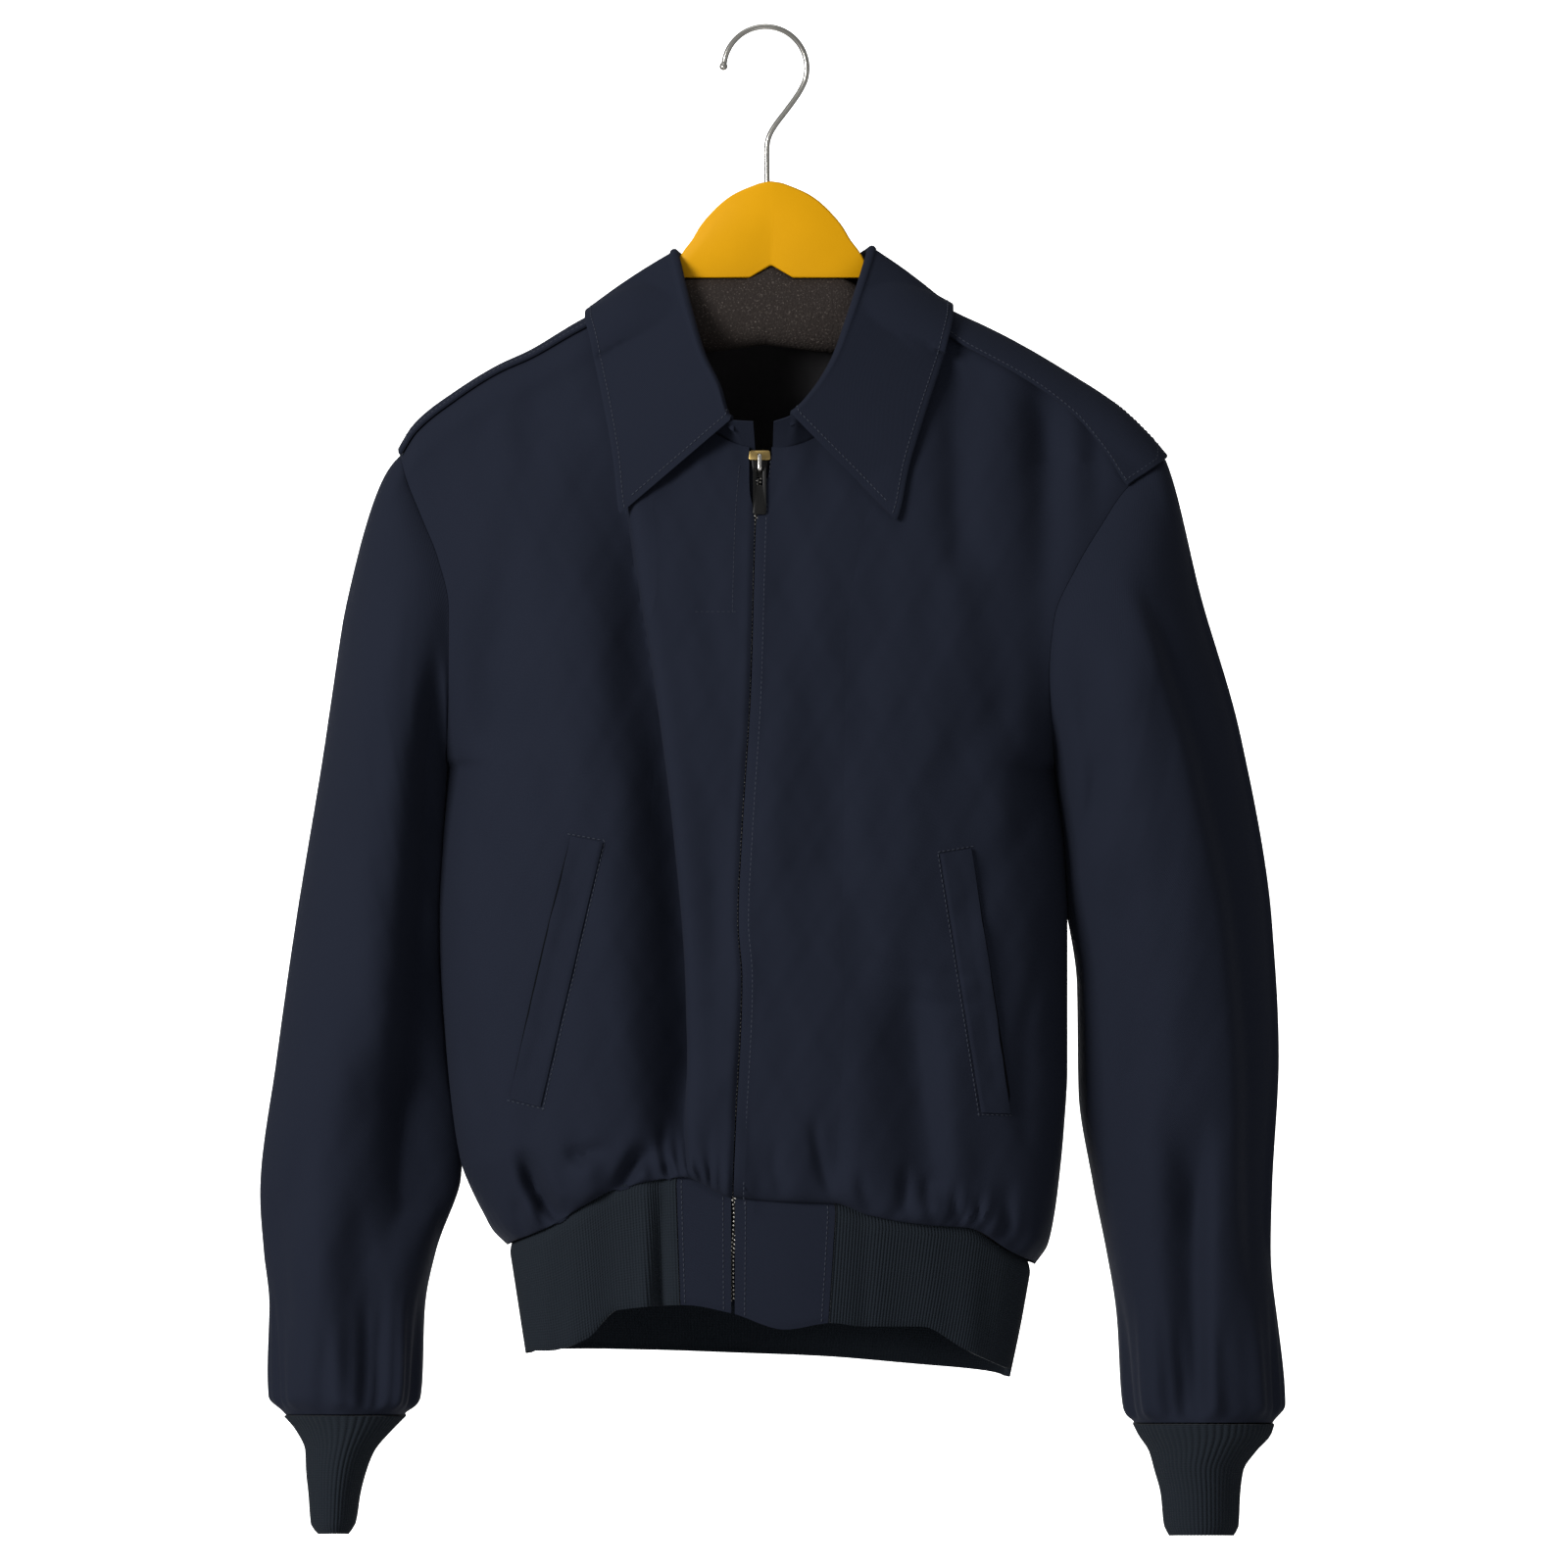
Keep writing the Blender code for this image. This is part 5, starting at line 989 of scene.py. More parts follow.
for name, side in (("sleeve_left", -1), ("sleeve_right", 1)):
    surface = sleeve(side)
    last = SLEEVE[side]["along"][-1]
    along = (np.linspace(0, 0.06, 12), np.linspace(0.06, 0.96, 116)[1:], np.linspace(0.96, last, 16)[1:])
    turns = np.arange(SLEEVE_AROUND) / SLEEVE_AROUND
    rows, columns = grid(np.concatenate(along), turns)
    points = surface(rows, columns)
    outward = normals(surface, rows, columns) * side
    outward[:3] = outward[3]
    dip = ARMHOLE_DIP * np.exp(-(rows / 0.007) ** 2) * np.cos(math.pi * columns) ** 2
    points = points - outward * dip[..., None]
    sleeve_piece = cloth_wall(name + "_cloth", points, points - outward * CLOTH, navy, True)
    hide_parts(name)


# Waistband
# A deep band round the hem: two tabs of the twill at the zip and rib knit from tab to tab round the
# back. The knit's wales are raised ribs on both sides, which draw the cloth in.
BAND_SEAM = 1.3
BAND_TAPER = 4.0
KNIT = 1.8
RIB_HEIGHT = 0.9
BAND_WALES = 350
CUFF_WALES = 68
BAND_EDGE = {
    -1: table("height x", (0, -146), (0.5, -151), (1, -156)),
    1: table("height x", (0, 149), (0.5, 156), (1, 162)),
}
BAND_FOLDS = table(
    "x width depth",
    (-64, 5, 8), (-74, 5, -2), (-100, 16, 3), (84, 18, 3), (112, 10, 2), (-126, 7, 1.6), (60, 6, 1.5),
    (136, 7, 1.6),
)
TAB_LEFT = (-54.6, -21.0)
TAB_RIGHT = (-18.6, 43.0)


def band(rows, turns):
    """The waistband: rows from bottom 0 to top 1. Turns are 0 at the zip, 1 right, -1 left, 2 at the back."""
    rows = np.clip(rows, 0.0, 1.0)
    turns = np.where(turns < -2, turns + 4, turns)
    quarter = np.where(np.abs(turns) <= 1, np.abs(turns), 2 - np.abs(turns))
    across = np.interp(quarter, QUARTER, QUARTER_X)
    round_side = np.clip(1 - across ** SIDE_CURVE, 0.0, 1.0) ** (1 / SIDE_CURVE)
    right = turns >= 0
    front = np.abs(turns) <= 1
    edges = [look(BAND_EDGE[side], "x", rows) for side in (1, -1)]
    edge = np.where(right, *edges)
    middles = [zip_x(HEM_Z[side]) for side in (1, -1)]
    centre = np.where(front, np.where(right, *middles), sum(middles) / 2)
    x = centre + (edge - centre) * across
    top, low = (np.where(front, look(HEM["front"], which, x), look(HEM["back"], which, x))
                for which in ("top", "bottom"))
    under = ease((rows - 0.95) / 0.05)
    z = low + (top - BAND_SEAM - low) * rows + 3.2 * under
    x = centre + (x - centre) * (1 - 0.014 * under)
    depth = np.where(front, BAND_DEPTH["front"], BAND_DEPTH["back"]) * round_side - BAND_TAPER * (1 - rows)
    depth = depth - 2.2 * under
    for place, width, fold in zip(*BAND_FOLDS.values()):
        depth = depth - np.where(front, fold * (1.3 - rows) * np.exp(-((x - place) / width) ** 2), 0.0)
    wave = np.sin(x / 17 + 1.2 * rows) * np.sin(2.2 * rows + x / 60) + np.sin(x / 29 + 2.0) * (1 - rows)
    depth = depth + 0.5 * wave * round_side
    roll = 0.9 * np.exp(-(rows / 0.03) ** 2)
    depth = np.maximum(depth - roll, 0.0) * np.where(front, -1, 1)
    return np.stack((x, middle_y(z) + depth, z), axis=-1)


def band_turn(x):
    """The turn of a place on the front of the waistband."""
    side = 1 if x > zip_x(HEM_Z[1]) else -1
    centre = zip_x(HEM_Z[side])
    return side * float(np.interp((x - centre) / (BAND_EDGE[side]["x"][-1] - centre), QUARTER_X, QUARTER))


def knit_material():
    """Fine rib knit: dark yarn with short stitches across each wale and a little fuzz."""
    material, tree, shader = surface_material(
        "navy rib knit", (0.0097, 0.0127, 0.017), 0.93, Sheen_Weight=0.03, Sheen_Roughness=0.5,
        Specular_IOR_Level=0.06)
    stitch = node(tree, "TexWave", bands_direction="Y", Scale=210.0, Distortion=1.5, Detail=2.0)
    yarn = node(tree, "TexNoise", Scale=1500.0, Detail=3.0, Roughness=0.7)
    height = node(tree, "Math", operation="ADD")
    mapped(tree, "UV", stitch, yarn)
    wire(tree, (stitch, "Fac", height, 0), (yarn, "Fac", height, 1))
    toned(tree, shader, yarn, (0.0092, 0.0122, 0.0169), (0.0168, 0.0213, 0.0275))
    bumped(tree, shader, height, 0.4, 0.0004, 0)
    return material


def geometry_tree(name, amounts, kinds, links):
    """A Geometry Nodes tree that reads amounts, lays out its mesh by the links and paints it at the end."""
    tree = bpy.data.node_groups.new(name, "GeometryNodeTree")
    sockets = [("Geometry", "INPUT", "Geometry")] + [(label, "INPUT", "Float") for label in amounts]
    sockets += [("Material", "INPUT", "Material"), ("Geometry", "OUTPUT", "Geometry")]
    for label, way, kind in sockets:
        tree.interface.new_socket(label, in_out=way, socket_type="NodeSocket" + kind)
    made = {"in": node(tree, "NodeGroupInput"), "out": node(tree, "NodeGroupOutput"),
            "real": node(tree, "GeometryNodeRealizeInstances"),
            "paint": node(tree, "GeometryNodeSetMaterial")}
    for key, (kind, settings) in kinds.items():
        made[key] = node(tree, kind, **settings)
    links = (*links, ("real", "Geometry", "paint", "Geometry"), ("in", "Material", "paint", "Material"),
             ("paint", "Geometry", "out", "Geometry"))
    wire(tree, *[(made[a], output, made[b], socket) for a, output, b, socket in links])
    return tree


def rib_tree():
    """Geometry Nodes that raise a wale along each turn of the yarn, on the outside and the inside."""
    kinds = {
        "rib": ("GeometryNodeInputNamedAttribute", {"data_type": "FLOAT", "Name": "rib_turn"}),
        "away": ("GeometryNodeInputNamedAttribute", {"data_type": "FLOAT_VECTOR", "Name": "rib_out"}),
        "cosine": ("Math", {"operation": "COSINE"}),
        "crest": ("Math", {"operation": "ABSOLUTE"}),
        "amount": ("Math", {"operation": "MULTIPLY"}),
        "shift": ("VectorMath", {"operation": "SCALE"}),
        "move": ("GeometryNodeSetPosition", {}),
    }
    return geometry_tree("knit ribs", ("Height",), kinds, (
        ("in", "Geometry", "move", "Geometry"), ("rib", "Attribute", "cosine", 0), ("cosine", 0, "crest", 0),
        ("crest", 0, "amount", 0), ("in", "Height", "amount", 1), ("away", "Attribute", "shift", 0),
        ("amount", 0, "shift", "Scale"), ("shift", "Vector", "move", "Offset"),
        ("move", "Geometry", "real", "Geometry")))


def baked(piece, tree, material, **amounts):
    """Replaces a piece's mesh by what its Geometry Nodes make of it."""
    modifier = piece.modifiers.new(tree.name, "NODES")
    modifier.node_group = tree
    values = {**amounts, "Material": material}
    for item in tree.interface.items_tree:
        if item.in_out == "INPUT" and item.name in values:
            modifier[item.identifier] = values[item.name]
    evaluated = piece.evaluated_get(bpy.context.evaluated_depsgraph_get())
    mesh = bpy.data.meshes.new_from_object(evaluated)
    mesh.name = piece.name
    piece.modifiers.remove(modifier)
    piece.data = mesh


def knit_piece(name, outer, outward, phase, tube_like):
    """A knit wall whose wales are raised along its columns."""
    piece = cloth_wall(name + "_ribs", outer, outer - outward * KNIT, knit, tube_like)
    turn = np.broadcast_to(phase, outer.shape[:2]).ravel()
    away = (outward * nearness(outer[..., 1])[..., None]).reshape(-1, 3) * 0.001
    add = piece.data.attributes.new
    add("rib_turn", "FLOAT", "POINT").data.foreach_set("value", np.concatenate((turn, turn)))
    add("rib_out", "FLOAT_VECTOR", "POINT").data.foreach_set("vector", np.concatenate((away, -away)).ravel())
    baked(piece, ribs, knit, Height=RIB_HEIGHT)
    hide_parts(name)


knit = knit_material()
ribs = rib_tree()
for name, (start, end) in (("band_tab_left", TAB_LEFT), ("band_tab_right", TAB_RIGHT)):
    turns = np.linspace(band_turn(start), band_turn(end), 60)
    rows, places = grid(np.linspace(0, 1, 60), turns)
    points = band(rows, places)
    outward = turned(band, rows, places, TO_VIEWER)
    tab = cloth_wall(name + "_cloth", points, points - outward * CLOTH, navy)
    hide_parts(name)
start = band_turn(TAB_LEFT[0]) - 0.003
length = 4 + start - (band_turn(TAB_RIGHT[1]) + 0.003)
line = start - length * np.linspace(0, 1, 8000)
run = run_of(band(np.full(8000, 0.5), line))
turns = np.interp(np.linspace(0, run[-1], 4 * BAND_WALES + 1), run, line)
heights = np.concatenate(([0, 0.012, 0.03, 0.06], np.linspace(0.12, 0.88, 13), [0.94, 0.97, 0.988, 1]))
rows, places = grid(heights, turns)
points = band(rows, places)
outward = turned(band, rows, places, points - (CENTRE_X, 0.0, -770.0))
phase = np.arange(4 * BAND_WALES + 1) * math.pi / 4
knit_piece("band_knit", points, outward, phase, False)


# Cuffs
# Short tubes of the same rib knit. They draw the ends of the sleeves in and hang open below. Sections
# give the outer and inner edge as seen, the middle's y and half the depth.
CUFF = {
    -1: table(
        "z x_out x_in y half",
        (-921, -273, -256, 2, 36), (-915, -277.5, -252, 2, 38), (-897, -279, -249, 2, 38),
        (-882, -280.5, -245, 2, 38), (-870, -281, -240, 2, 38), (-857, -287, -229, 3, 40),
        (-849, -294, -221, 4, 43),
    ),
    1: table(
        "z x_out x_in y half",
        (-922, 286, 248, 1, 36), (-916, 289, 245, 1, 37), (-897, 290, 243, 1, 37),
        (-882, 292, 239, 1, 38), (-870, 300, 235.5, 1, 40), (-860, 309, 229, 2, 43),
        (-854, 311, 226, 3, 45),
    ),
}


def cuff(side):
    """A cuff's surface: rows are heights, columns a turn."""
    tab = CUFF[side]

    def surface(rows, columns):
        angle = 2 * math.pi * columns
        read = {name: look(tab, name, rows) for name in tab}
        x = half_sum(read["x_out"], read["x_in"], np.cos(angle))
        y = read["y"] - read["half"] * np.sin(angle)
        return np.stack((x, y, rows + 0 * x), axis=-1)

    return surface


for name, side in (("cuff_left", -1), ("cuff_right", 1)):
    surface = cuff(side)
    fine = np.linspace(0, 1, 4001)
    run = run_of(surface(np.full(4001, -885.0), fine))
    steps = np.arange(6 * CUFF_WALES)
    turns = np.interp(steps / (6 * CUFF_WALES) * run[-1], run, fine)
    heights = np.linspace(CUFF[side]["z"][0], CUFF[side]["z"][-1], 26)
    rows, places = grid(heights, turns)
    points = surface(rows, places)
    outward = turned(surface, rows, places, points - points.mean(axis=1, keepdims=True))
    knit_piece(name, points, outward, steps * math.pi / 6, True)


# Collar
# A plain shirt collar of the same twill: a stand on the neckline and a leaf that folds over it, spreads
# at the zip and lies on the shoulders.
LEAF_CLOTH = 2.0
STAND_CLOTH = 1.2
STAND_IN = 2.3
FOLD_RADIUS = 2.8
COLLAR = {
    -1: table(
        "along turn x_fold y_fold z_fold x_edge y_edge z_edge lift",
        (-0.10, 7, -7.8, -63, -240, -80, -61, -292, 4), (0.00, 10, -21.6, -63, -239, -88.8, -62, -296.4, 4),
        (0.14, 25, -30, -58, -219, -93.5, -56, -262, 4.4), (0.28, 42, -40, -50, -200, -100, -44, -226, 5.8),
        (0.42, 60, -47.5, -38, -178, -106.5, -28, -196, 7.8),
        (0.55, 80, -55.4, -19, -150, -111, -14, -178, 8.3),
        (0.63, 95, -58.6, -2, -137, -110.5, 4, -171.5, 8.3), (0.74, 115, -51, 18, -141, -100, 34, -192, 7),
        (0.87, 145, -28, 31, -148, -58, 45, -208, 5), (1.00, 180, 2.4, 36, -150, 2.4, 50, -211, 5),
    ),
    1: table(
        "along turn x_fold y_fold z_fold x_edge y_edge z_edge lift",
        (-0.10, 1.6, 5.4, -63, -240, 72, -61, -296, 4), (0.00, 8, 16.5, -63, -236, 79.8, -62, -300, 4),
        (0.14, 25, 31, -58, -222, 88.5, -56, -266, 4.4), (0.28, 42, 43.5, -50, -203, 99, -44, -232, 5.8),
        (0.42, 60, 53.5, -38, -178, 109.5, -28, -200, 7.8), (0.55, 80, 63, -19, -151, 115.5, -14, -179, 8.3),
        (0.63, 95, 68, -2, -135, 115.5, 4, -170.5, 8.3), (0.74, 115, 57, 18, -140, 104, 34, -191, 7),
        (0.87, 145, 31, 31, -148, 60, 45, -208, 5), (1.00, 180, 2.4, 36, -150, 2.4, 50, -211, 5),
    ),
}


def collar_read(side, along):
    """All columns of the collar's table at places along it."""
    return {name: look(COLLAR[side], name, along) for name in COLLAR[side]}


def collar_line(read, line):
    """The points of the collar's fold or edge."""
    return np.stack([read[axis + line] for axis in ("x_", "y_", "z_")], axis=-1)


def off_body(side, points, lift):
    """Points pushed out from the body until they stand off the cloth by a lift."""
    x, y, z = np.moveaxis(points, -1, 0)
    radius = SHOULDER_ROUND["back"] + lift
    above = z - shoulder_z(side, x) + SHOULDER_ROUND["back"]
    reach = np.hypot(y, above)
    push = np.where((above > 0) & (reach < radius), radius / np.maximum(reach, 1.0), 1.0)
    y = y * push
    z = z + above * (push - 1)
    cloth = cloth_y(y < 0, side, x, z, lift)
    y = np.where(y < 0, np.minimum(y, cloth), np.maximum(y, cloth))
    return np.stack((x, y, z), axis=-1)


def leaf(side):
    """Half the collar's leaf: rows from fold 0 to edge 1, columns from the front end 0 to the back 1.

    Rows below 0 roll over the fold and down inside the stand.
    """

    def surface(rows, columns):
        read = collar_read(side, np.clip(columns, 0.0, 1.0))
        over = np.clip(-rows / 0.1, 0.0, 1.0)
        rows = np.clip(rows, 0.0, 1.0)
        fold = collar_line(read, "fold")
        edge = collar_line(read, "edge")
        points = fold + (edge - fold) * rows[..., None]
        points[..., 2] += 2.0 * np.sin(math.pi * rows) * np.clip(columns, 0, 1)
        lift = read["lift"] + 1.5 * (1 - rows) + 0.5 * np.sin(7 * columns + 2 * side) * rows
        points = off_body(side, points, lift)
        turn = math.pi * np.clip(over / 0.6, 0, 1)
        roll = FOLD_RADIUS * (1 - np.cos(turn))
        points = points + inward_at(fold) * roll[..., None]
        points[..., 2] += FOLD_RADIUS * np.sin(turn) - 7.0 * np.clip((over - 0.6) / 0.4, 0, 1)
        return points

    return surface


def inward_at(fold):
    """Level unit steps from the fold toward the middle of the neck."""
    inward = np.stack((CENTRE_X - fold[..., 0], -4 - fold[..., 1], 0 * fold[..., 0]), axis=-1)
    return inward / np.linalg.norm(inward, axis=-1, keepdims=True)


def stand(side):
    """Half the collar's stand: rows from the neckline 0 to the fold 1."""

    def surface(rows, columns):
        read = collar_read(side, np.clip(columns, -0.1, 1.0))
        rows = np.clip(rows, 0.0, 1.0)
        turn = np.radians(read["turn"])
        x = CENTRE_X + side * NECK_HALF * np.sin(turn)
        front = read["turn"] <= 90.5
        z = NECK_TOP_Z - np.where(front, NECK_DROP["front"], NECK_DROP["back"]) * np.abs(np.cos(turn))
        y = cloth_y(front, side, x, z)
        low = np.stack((x - side * STAND_IN * np.sin(turn), y + STAND_IN * np.cos(turn), z - 3.0), axis=-1)
        fold = collar_line(read, "fold")
        high = fold + inward_at(fold) * 1.6
        under_leaf = ease((np.clip(columns, -0.1, 1.0) + 0.01) / 0.05)
        high[..., 2] -= 0.5 + 3.0 * under_leaf
        return low + (high - low) * rows[..., None]

    return surface


def both_sides(half, rows, columns):
    """Points and outward normals from the left front end round the back to the right front end."""
    parts = []
    for side in (-1, 1):
        r, c = grid(rows, columns)
        points = half(side)(r, c)
        parts.append((points, turned(half(side), r, c, points - (CENTRE_X, 0.0, -260.0))))
    return [np.hstack((left, right[:, -2::-1])) for left, right in zip(*parts)]


rows = (np.linspace(-0.1, -0.005, 16), np.linspace(0, 0.9, 24), [0.93, 0.955, 0.975, 0.99, 1.0])
leaf_points, leaf_out = both_sides(leaf, np.concatenate(rows), np.linspace(0, 1, 131))
outer = leaf_points.copy()
outer[-2:] -= leaf_out[-2:] * np.array([0.25, 0.6])[:, None, None]
inner = leaf_points - leaf_out * LEAF_CLOTH
collar_leaf = cloth_wall("collar_leaf_cloth", outer, inner, navy)
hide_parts("collar_leaf")
points, outward = both_sides(stand, np.linspace(0, 1, 12), np.linspace(-0.1, 1, 121))
collar_stand = cloth_wall("collar_stand_cloth", points, points - outward * STAND_CLOTH, navy)
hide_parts("collar_stand")


# Shoulder straps
# Two flat straps of doubled twill, sewn down from under the collar to the armhole seam. Their front and
# back edges are lengths along the cloth from the shoulder line.
STRAP_LOW = 1.3
STRAP_HIGH = 3.1
STRAP = {
    -1: table("out front back", (98, -14, 32), (135, -12, 36), (190, -12, 38), (224, -12, 38)),
    1: table(
        "out front back", (103, -24, 26), (125, -28, 22), (160, -30, 17), (190, -34, 12), (209, -45, 4),
        (222, -54, 0), (246, -54, -2),
    ),
}


def strap(side):
    """A strap on the cloth: rows from the collar 0 to the armhole 1, columns from front to back edge."""
    tab = STRAP[side]

    def on_shoulder(face, out, arc):
        radius = SHOULDER_ROUND[face]
        turn = np.minimum(np.abs(arc) / radius, math.pi / 2)
        drop = radius * (1 - np.cos(turn)) + np.maximum(np.abs(arc) - radius * math.pi / 2, 0.0)
        return side * out, shoulder_z(side, side * out) - drop, drop

    def surface(rows, columns):
        rows = np.clip(rows, 0.0, 1.0)
        start = tab["out"][0]
        out = start + (tab["out"][-1] - start) * rows
        for _ in range(12):
            arc = look(tab, "front", out) * (1 - columns)
            arc = arc + look(tab, "back", out) * columns
            limit = [side * edge_x(side, on_shoulder(f, out, arc)[1]) - 1.6 for f in ("front", "back")]
            limit = np.where(arc < 0, limit[0], limit[1])
            out = out + 0.4 * (start + (limit - start) * rows - out)
        points = {}
        for face, sign in (("front", -1), ("back", 1)):
            x, z, drop = on_shoulder(face, out, arc)
            share = depth_share(side, across_of(face, side, x, z), z)[0]
            points[face] = np.stack((x, sign * fullness(face, drop) * share, z), axis=-1)
        return np.where((arc < 0)[..., None], points["front"], points["back"])

    return surface


straps = {}
for name, side in (("strap_left", -1), ("strap_right", 1)):
    surface = strap(side)
    r, c = grid(np.linspace(0, 1, 50), np.linspace(0, 1, 26))
    points = surface(r, c)
    outward = turned(surface, r, c, (0.0, 0.0, 1.0))
    straps[side] = (points, outward)
    at_edge = np.exp(-(np.minimum(c, 1 - c) / 0.02) ** 2)
    raised = STRAP_HIGH + 0.5 * np.sin(9 * r) * np.sin(math.pi * c) - 0.5 * at_edge
    outer = points + outward * raised[..., None]
    piece = cloth_wall(name + "_cloth", outer, points + outward * STRAP_LOW, navy)
    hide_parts(name)


# Pocket welts
# Narrow strips of twill, sewn slanting on the fronts. The pocket opens along the outer edge of each,
# where the cloth beside it stands off a little.
WELT = {
    -1: {"top_in": (-99.6, -498), "top_out": (-118.8, -494), "low_in": (-137.4, -659.5),
         "low_out": (-156, -654.5)},
    1: {"top_in": (106.8, -505), "top_out": (125.4, -501.5), "low_in": (132, -663),
        "low_out": (148.8, -663.5)},
}
WELT = {side: {key: np.array(place) for key, place in corner.items()} for side, corner in WELT.items()}


def welt(side):
    """A welt's surface on the front: rows from its low end 0 to its top 1, columns from inside to outside."""
    corner = WELT[side]

    def surface(rows, columns):
        r = rows[..., None]
        c = columns[..., None]
        top = corner["top_in"] * (1 - c) + corner["top_out"] * c
        low = corner["low_in"] * (1 - c) + corner["low_out"] * c
        return on_cloth(side, *np.moveaxis(low * (1 - r) + top * r, -1, 0))

    return surface


# The pocket facing seen in each opening is coloured near black, far darker than the cloth: painted shadow in
# the gap beside the welt.
opening_shadow = twill("pocket opening painted shadow", (0.0015, 0.0018, 0.0026), (0.0030, 0.0036, 0.0050), 0.0006, 0.0)
for name, side in (("welt_left", -1), ("welt_right", 1)):
    surface = welt(side)
    up = np.linspace(0, 1, 90)
    gape = 0.09 * np.clip(np.sin(math.pi * up), 0, 1) ** 0.6
    if side > 0:
        gape = 0.16 * ease(up / 0.08) * (1 - 0.75 * up)
    places = np.concatenate((np.linspace(0, 1, 24), [1.0, 1.0]))
    r, c = grid(up, places)
    c[:, -1] = 1 + gape
    points = surface(r, c)
    outward = turned(surface, r, c, TO_VIEWER)
    at_inner = np.exp(-(c / 0.05) ** 2)
    open_edge = ease((c - 0.55) / 0.45) * np.sin(math.pi * np.clip(r, 0, 1)) ** 0.7
    raised = 1.9 - 0.7 * at_inner + 1.3 * open_edge + 0.15 * np.sin(40 * r)
    inside = np.minimum(0.45 + 1.3 * open_edge, raised - 0.8)
    raised[:, -2:] = (0.5, 0.35)
    inside[:, -2:] = (0.15, 0.1)
    piece = cloth_wall(name + "_cloth", points + outward * raised[..., None],
                       points + outward * inside[..., None], navy)
    piece.data.materials.append(opening_shadow)
    # The last two strips of each welt, in the opening, take the painted shadow.
    strips = len(places) - 1
    for row in range(len(up) - 1):
        for column in (strips - 2, strips - 1):
            piece.data.polygons[row * strips + column].material_index = 1
    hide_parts(name)


# Zip
# A metal zip: woven tape behind the edges of the fronts, two rows of small pale teeth, and a slider at
# the neck with a bright bridge that carries a blackened pull tab.
ZIP_TOP_Z = -259.0
ZIP_LOW_Z = -781.0
ZIP_HEM_Z = -716.0
TAPE_BEHIND = 3.3
HINGE_OUT = 4.6
HINGE_DOWN = 2.4


def tape(rows, columns):
    """The zip's tape behind the edges of the fronts: rows are heights, columns run across."""
    x = zip_x(rows) + columns
    sides = []
    for side in (1, -1):
        full = fullness("front", shoulder_z(side, x) - rows)
        sides.append(full * depth_share(side, across_of("front", side, x, rows), rows)[0])
    band_depth = BAND_DEPTH["front"] - BAND_TAPER * ease((ZIP_HEM_Z - rows) / 66)
    depth = np.where(columns > 0, *sides) - fold_depth("front", x, rows) - band_depth
    depth = band_depth + depth * ease((rows - ZIP_HEM_Z - HEM_ROUND) / 40)
    depth = depth - 1.6 * ease((rows + 712) / 14) * ease((-296 - rows) / 14)
    return np.stack((x, middle_y(rows) - depth, rows + 0 * x), axis=-1)


tape_cloth, tree, shader = surface_material("zip tape", (0.010, 0.012, 0.019), 0.9, Specular_IOR_Level=0.1)
herringbone = node(tree, "TexWave", Scale=400.0, Distortion=3.0)
mapped(tree, "UV", herringbone)
bumped(tree, shader, herringbone, 0.3, 0.0003)
r, c = grid(np.linspace(ZIP_LOW_Z, ZIP_TOP_Z, 130), np.linspace(-11, 11, 9))
behind = np.array([0.0, 1.0, 0.0])
points = tape(r, c) + behind * TAPE_BEHIND
tape_piece = cloth_wall("zip_tape_cloth", points, points + behind, tape_cloth)
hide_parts("zip_tape")


def scatter_tree(name, part, **settings):
    """Geometry Nodes that lay small parts at even steps along paths, turned along them."""
    kinds = {
        "part": (part, settings),
        "soft": ("GeometryNodeSetShadeSmooth", {}),
        "line": ("GeometryNodeMeshToCurve", {}),
        "points": ("GeometryNodeCurveToPoints", {"mode": "LENGTH"}),
        "size": ("CombineXYZ", {}),
        "scale": ("GeometryNodeTransform", {}),
        "lay": ("GeometryNodeInstanceOnPoints", {}),
    }
    return geometry_tree(name, ("Pitch", "Long", "Wide", "High"), kinds, (
        ("in", "Geometry", "line", "Mesh"), ("line", "Curve", "points", "Curve"),
        ("in", "Pitch", "points", "Length"), ("in", "Wide", "size", "X"), ("in", "High", "size", "Y"),
        ("in", "Long", "size", "Z"), ("part", "Mesh", "soft", 0), ("soft", 0, "scale", "Geometry"),
        ("size", "Vector", "scale", "Scale"), ("points", "Points", "lay", "Points"),
        ("points", "Rotation", "lay", "Rotation"), ("scale", "Geometry", "lay", "Instance"),
        ("lay", "Instances", "real", "Geometry")))


def laid_along(name, paths, tree, material, slot, **amounts):
    """Small parts laid along open paths in millimetres, as one piece."""
    vertices = []
    edges = []
    for path in paths:
        first = len(vertices)
        vertices += placed(path).tolist()
        edges += [(first + i, first + i + 1) for i in range(len(path) - 1)]
    mesh = bpy.data.meshes.new(name)
    mesh.from_pydata(vertices, edges, [])
    mesh.materials.append(material)
    piece = bpy.data.objects.new(name, mesh)
    bpy.context.scene.collection.objects.link(piece)
    baked(piece, tree, material, **amounts)
    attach(piece, "garment")


pale_metal, tree, shader = surface_material("zip teeth metal", (0.42, 0.41, 0.38), 0.3, 1.0)
scuffed(tree, shader, 0.22, 0.5, Scale=2500.0)
teeth_tree = scatter_tree("zip teeth", "GeometryNodeMeshCube", Size=(1.0, 1.0, 1.0))
heights = np.linspace(-778, -262, 260)
paths = []
for shift, start in ((-0.9, 0.0), (0.9, 1.25)):
    line = tape(heights + start, np.full(len(heights), shift))
    paths.append(line + behind * (TAPE_BEHIND - 0.9))
laid_along("zip_teeth", paths, teeth_tree, pale_metal, "dark_zip_metal", Pitch=0.0025, Long=0.0013,
           Wide=0.0026, High=0.0012)

